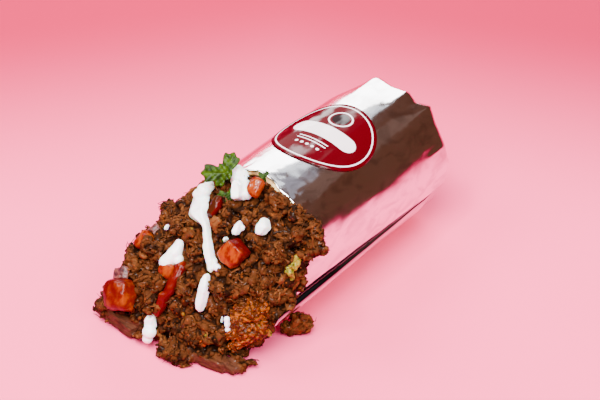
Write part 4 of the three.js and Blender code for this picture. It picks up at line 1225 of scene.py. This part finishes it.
# %% Lettuce
LETTUCE_BITS = {  # a yellow end beside the rice, and a pale sliver across it
    "lettuce_2": [(28.9, -67.4, 14.2, 1.9), (29.6, -66.6, 12.6, 1.5)]
    + stroke([(31.0, -75.6, 24.4), (28.7, -70.0, 16.4)], 0.7, 0.6, 16),
}
lettuce_finish = Finish("lettuce", Roughness=0.4, Specular_IOR_Level=0.05, Coat_Weight=0.2,
                        Coat_Roughness=0.1, Subsurface_Weight=0.3, Subsurface_Scale=1.5 * MM)
ribs = lettuce_finish.noise(1.4 * MM, 3)
lettuce_finish.varies("Base Color", lettuce_finish.mix(colour(126, 108, 22), colour(62, 70, 12),
                                                       ribs.mask(0.4, 0.65)))
lettuce_finish.bump(ribs, 0.3 * MM, 0.6)
for index, node in enumerate(nodes_named("lettuce")):
    lettuce = soft_copy(node, f"lettuce_shred_{index}", 0.3, 2, [(1.3, 3.0), (0.5, 1.0)], index + 80,
                        LETTUCE_BITS.get(node, ()), SLICE_PLACES[node])
    hand_in(lettuce, lettuce_finish, "lettuce", node)

# %% [markdown]
# ## Coriander
# A coriander leaf is a fan of lobes, each cut into rounded teeth, on a thin stalk. A flat sheet is drawn
# out to that outline, cupped a little, and sunk along its veins. The stalk is a bent row of small balls
# melted into one. It joins the leaf to the heap, so that no leaf hangs in the air.

# %% Coriander: outline and stalk
LEAVES = {  # middle in mm, way it faces, spin in degrees, half size in mm, and where the stalk ends
    "coriander_1": ((-9.5, -47.6, 73.3), (0.45, -0.75, 0.5), 0, 10.5, (-10.5, -42.5, 64.0)),
    "coriander_2": ((-6.6, -48.8, 62.3), (0.45, -0.7, 0.55), -10, 5.4, (-8.7, -45.2, 58.5)),
    "coriander_3": ((4.6, -37.5, 72.3), (0.4, -0.6, 0.7), -20, 2.9, (4.6, -37.0, 66.5)),
}
STALK_RADIUS = 0.55  # mm
LOBES = [  # direction in degrees, length as a share of the leaf's half size, and half width in degrees
    (72, 0.95, 42), (183, 1.05, 40), (128, 0.5, 34), (236, 0.7, 34),
]
TOOTH_WIDTH = 12  # degrees


def leaf_outline(angle):
    """How far the leaf reaches from its middle, in each direction: broad lobes cut into teeth."""
    reach = np.full(len(angle), 0.3)
    for middle, length, width in LOBES:
        off = np.degrees((angle - math.radians(middle) + math.pi) % (2 * math.pi) - math.pi)
        lobe = np.clip(1 - (np.abs(off) / width) ** 3, 0, 1) ** 0.5
        teeth = 1 - 0.12 * np.abs(np.sin(off / TOOTH_WIDTH * math.pi / 2)) ** 1.5
        reach = np.maximum(reach, length * lobe * teeth)
    return reach


def stalk(path):
    """A thin round stalk along a bent path."""
    piece = bpy.data.objects.new("stalk", bpy.data.meshes.new("stalk"))
    bpy.context.collection.objects.link(piece)
    add_balls(piece, stroke(path, STALK_RADIUS, STALK_RADIUS * 1.2, 24))
    modify(piece, "REMESH", mode="VOXEL", voxel_size=0.2 * MM)
    modify(piece, "SMOOTH", factor=0.5, iterations=4)
    return piece


# %% Coriander: leaves
VEIN_WIDTH = 0.035  # as a share of the leaf's half size


def new_leaf(name, middle, facing, spin, size, foot):
    """A leaf on its stalk. The sheet is drawn out flat, cupped, turned and put in place."""
    leaf = new_sheet(name, 132, 12)
    flat = points_of(leaf)
    angle, share = flat[:, 0] * 2 * math.pi, flat[:, 1]
    reach = leaf_outline(angle) * share
    x, y = reach * np.cos(angle), reach * np.sin(angle)
    off_lobes = [angle - math.radians(lobe) for lobe, *_ in LOBES]
    off_veins = [np.abs(np.sin(off)) * reach / VEIN_WIDTH + 9 * (np.cos(off) < 0) for off in off_lobes]
    veins = np.exp(-np.array(off_veins).min(axis=0))
    bent = 0.22 * x * x + 0.10 * np.sin(6 * x + 2) * y - 0.25 * np.maximum(y, 0) ** 2 - 0.03 * veins
    leaf_points = np.column_stack([x, y, bent + 0.03 * np.sin(25 * x) * np.cos(21 * y)]) * size * MM
    spun = Matrix.Rotation(math.radians(spin), 3, "Z")
    turned = Vector(facing).to_track_quat("Z", "Y").to_matrix() @ spun
    set_points(leaf, leaf_points @ np.array(turned).T + np.array(at(*middle)))
    store(leaf, "vein", veins)
    outward(leaf)
    modify(leaf, "SOLIDIFY", thickness=0.3 * MM, offset=0)
    behind = Vector(middle) - Vector(facing).normalized() * 0.35
    bent_back = (behind + Vector(foot)) / 2 - Vector(facing) * 0.12 * size
    thin_stalk = stalk([behind, bent_back, foot])
    pick(leaf)
    thin_stalk.select_set(True)
    bpy.ops.object.join()
    bpy.ops.object.shade_smooth()
    return leaf


# %% Coriander: finish
leaf_finish = Finish("coriander", Roughness=0.6, Specular_IOR_Level=0.03, Coat_Weight=0.1,
                     Coat_Roughness=0.2)
vein = leaf_finish.attribute("vein")
mottled = leaf_finish.noise(2.5 * MM, 3)
green = leaf_finish.mix(colour(17, 33, 2), colour(48, 73, 4), mottled.mask(0.35, 0.7))
leaf_finish.varies("Base Color", leaf_finish.mix(green, colour(62, 90, 16), vein * 0.35))
leaf_finish.bump(mottled, 0.2 * MM, 0.5)
for node, leaf in LEAVES.items():
    hand_in(new_leaf(f"leaf_of_{node}", *leaf), leaf_finish, "coriander", node)

# %% [markdown]
# ## Seasoned rice
# A clump of orange rice that fell out with the beef. Its core is a rough lump, and cooked grains lie
# on it at all angles, half sunk. The grains are copies of one rod, each with its own length, bend and
# tint, because in rice it is the single grains that the eye looks for.

# %% Rice: core and grains
RICE_SIZE, RICE_SHIFT = 0.94, (0.4, 3.0, 3.8)
rice_core = soft_copy("seasoned_rice", "rice_core", 0.5, 2, [(3.4, 6.0), (1.4, 2.0)], 90)
resettle(rice_core, RICE_SIZE, RICE_SHIFT)


def grains(name, skin, count, length, width, seed):
    """Cooked grains of rice: plump little rods that lie on a surface. Sizes are in mm."""
    rng = np.random.default_rng(seed)
    shape, shell = pattern(bpy.ops.mesh.primitive_uv_sphere_add, segments=8, ring_count=5)
    copies, tints = [], []
    for place, normal in zip(*surface_places(skin, count, rng)):
        half = rng.uniform(*width) / 2 * MM
        middle = place + normal * half * rng.uniform(-0.1, 0.9)
        if middle[2] < 1.2 * MM:
            continue
        along = Vector(np.cross(normal, rng.normal(size=3)) + normal * rng.normal(0, 0.3)).normalized()
        turned = np.array(along.to_track_quat("Z", "Y").to_matrix())
        rod = shape * (half, half, rng.uniform(*length) / 2 * MM)
        rod[:, 0] += rng.normal(0, 0.25) * half * (shape[:, 2] ** 2)
        copies.append(rod @ turned.T + middle)
        tints.append(rng.random())
    return repeated(name, copies, shell, tints, (9, 9, 9))


rice_grains = grains("rice_grains", rice_core, 420, (2.2, 4.2), (1.1, 1.8), 91)

# %% Rice: finish
rice_finish = Finish("rice", Specular_IOR_Level=0.03, Coat_Weight=0.12, Coat_Roughness=0.12,
                     Subsurface_Weight=0.2, Subsurface_Scale=1.0 * MM)
tint = rice_finish.attribute("tint")
sauce = rice_finish.noise(1.8 * MM, 3)
rice_colour = rice_finish.mix(colour(72, 29, 4), colour(124, 58, 8), tint.mask(0.3, 1.0))
rice_colour = rice_finish.mix(rice_colour, colour(58, 24, 8), sauce.mask(0.48, 0.66) * 0.85)
rice_finish.varies("Base Color", rice_colour)
rice_finish.varies("Roughness", 0.25 + 0.3 * sauce)
hand_in(rice_core, rice_finish, "rice", "seasoned_rice")
hand_in(rice_grains, rice_finish, "rice", "seasoned_rice")

# %% [markdown]
# ## Size
# The dressed burrito should be about as large as its solids.

# %% Boxes as lists


def corners(pair):
    """A box as two plain lists."""
    return [list(corner) for corner in pair]
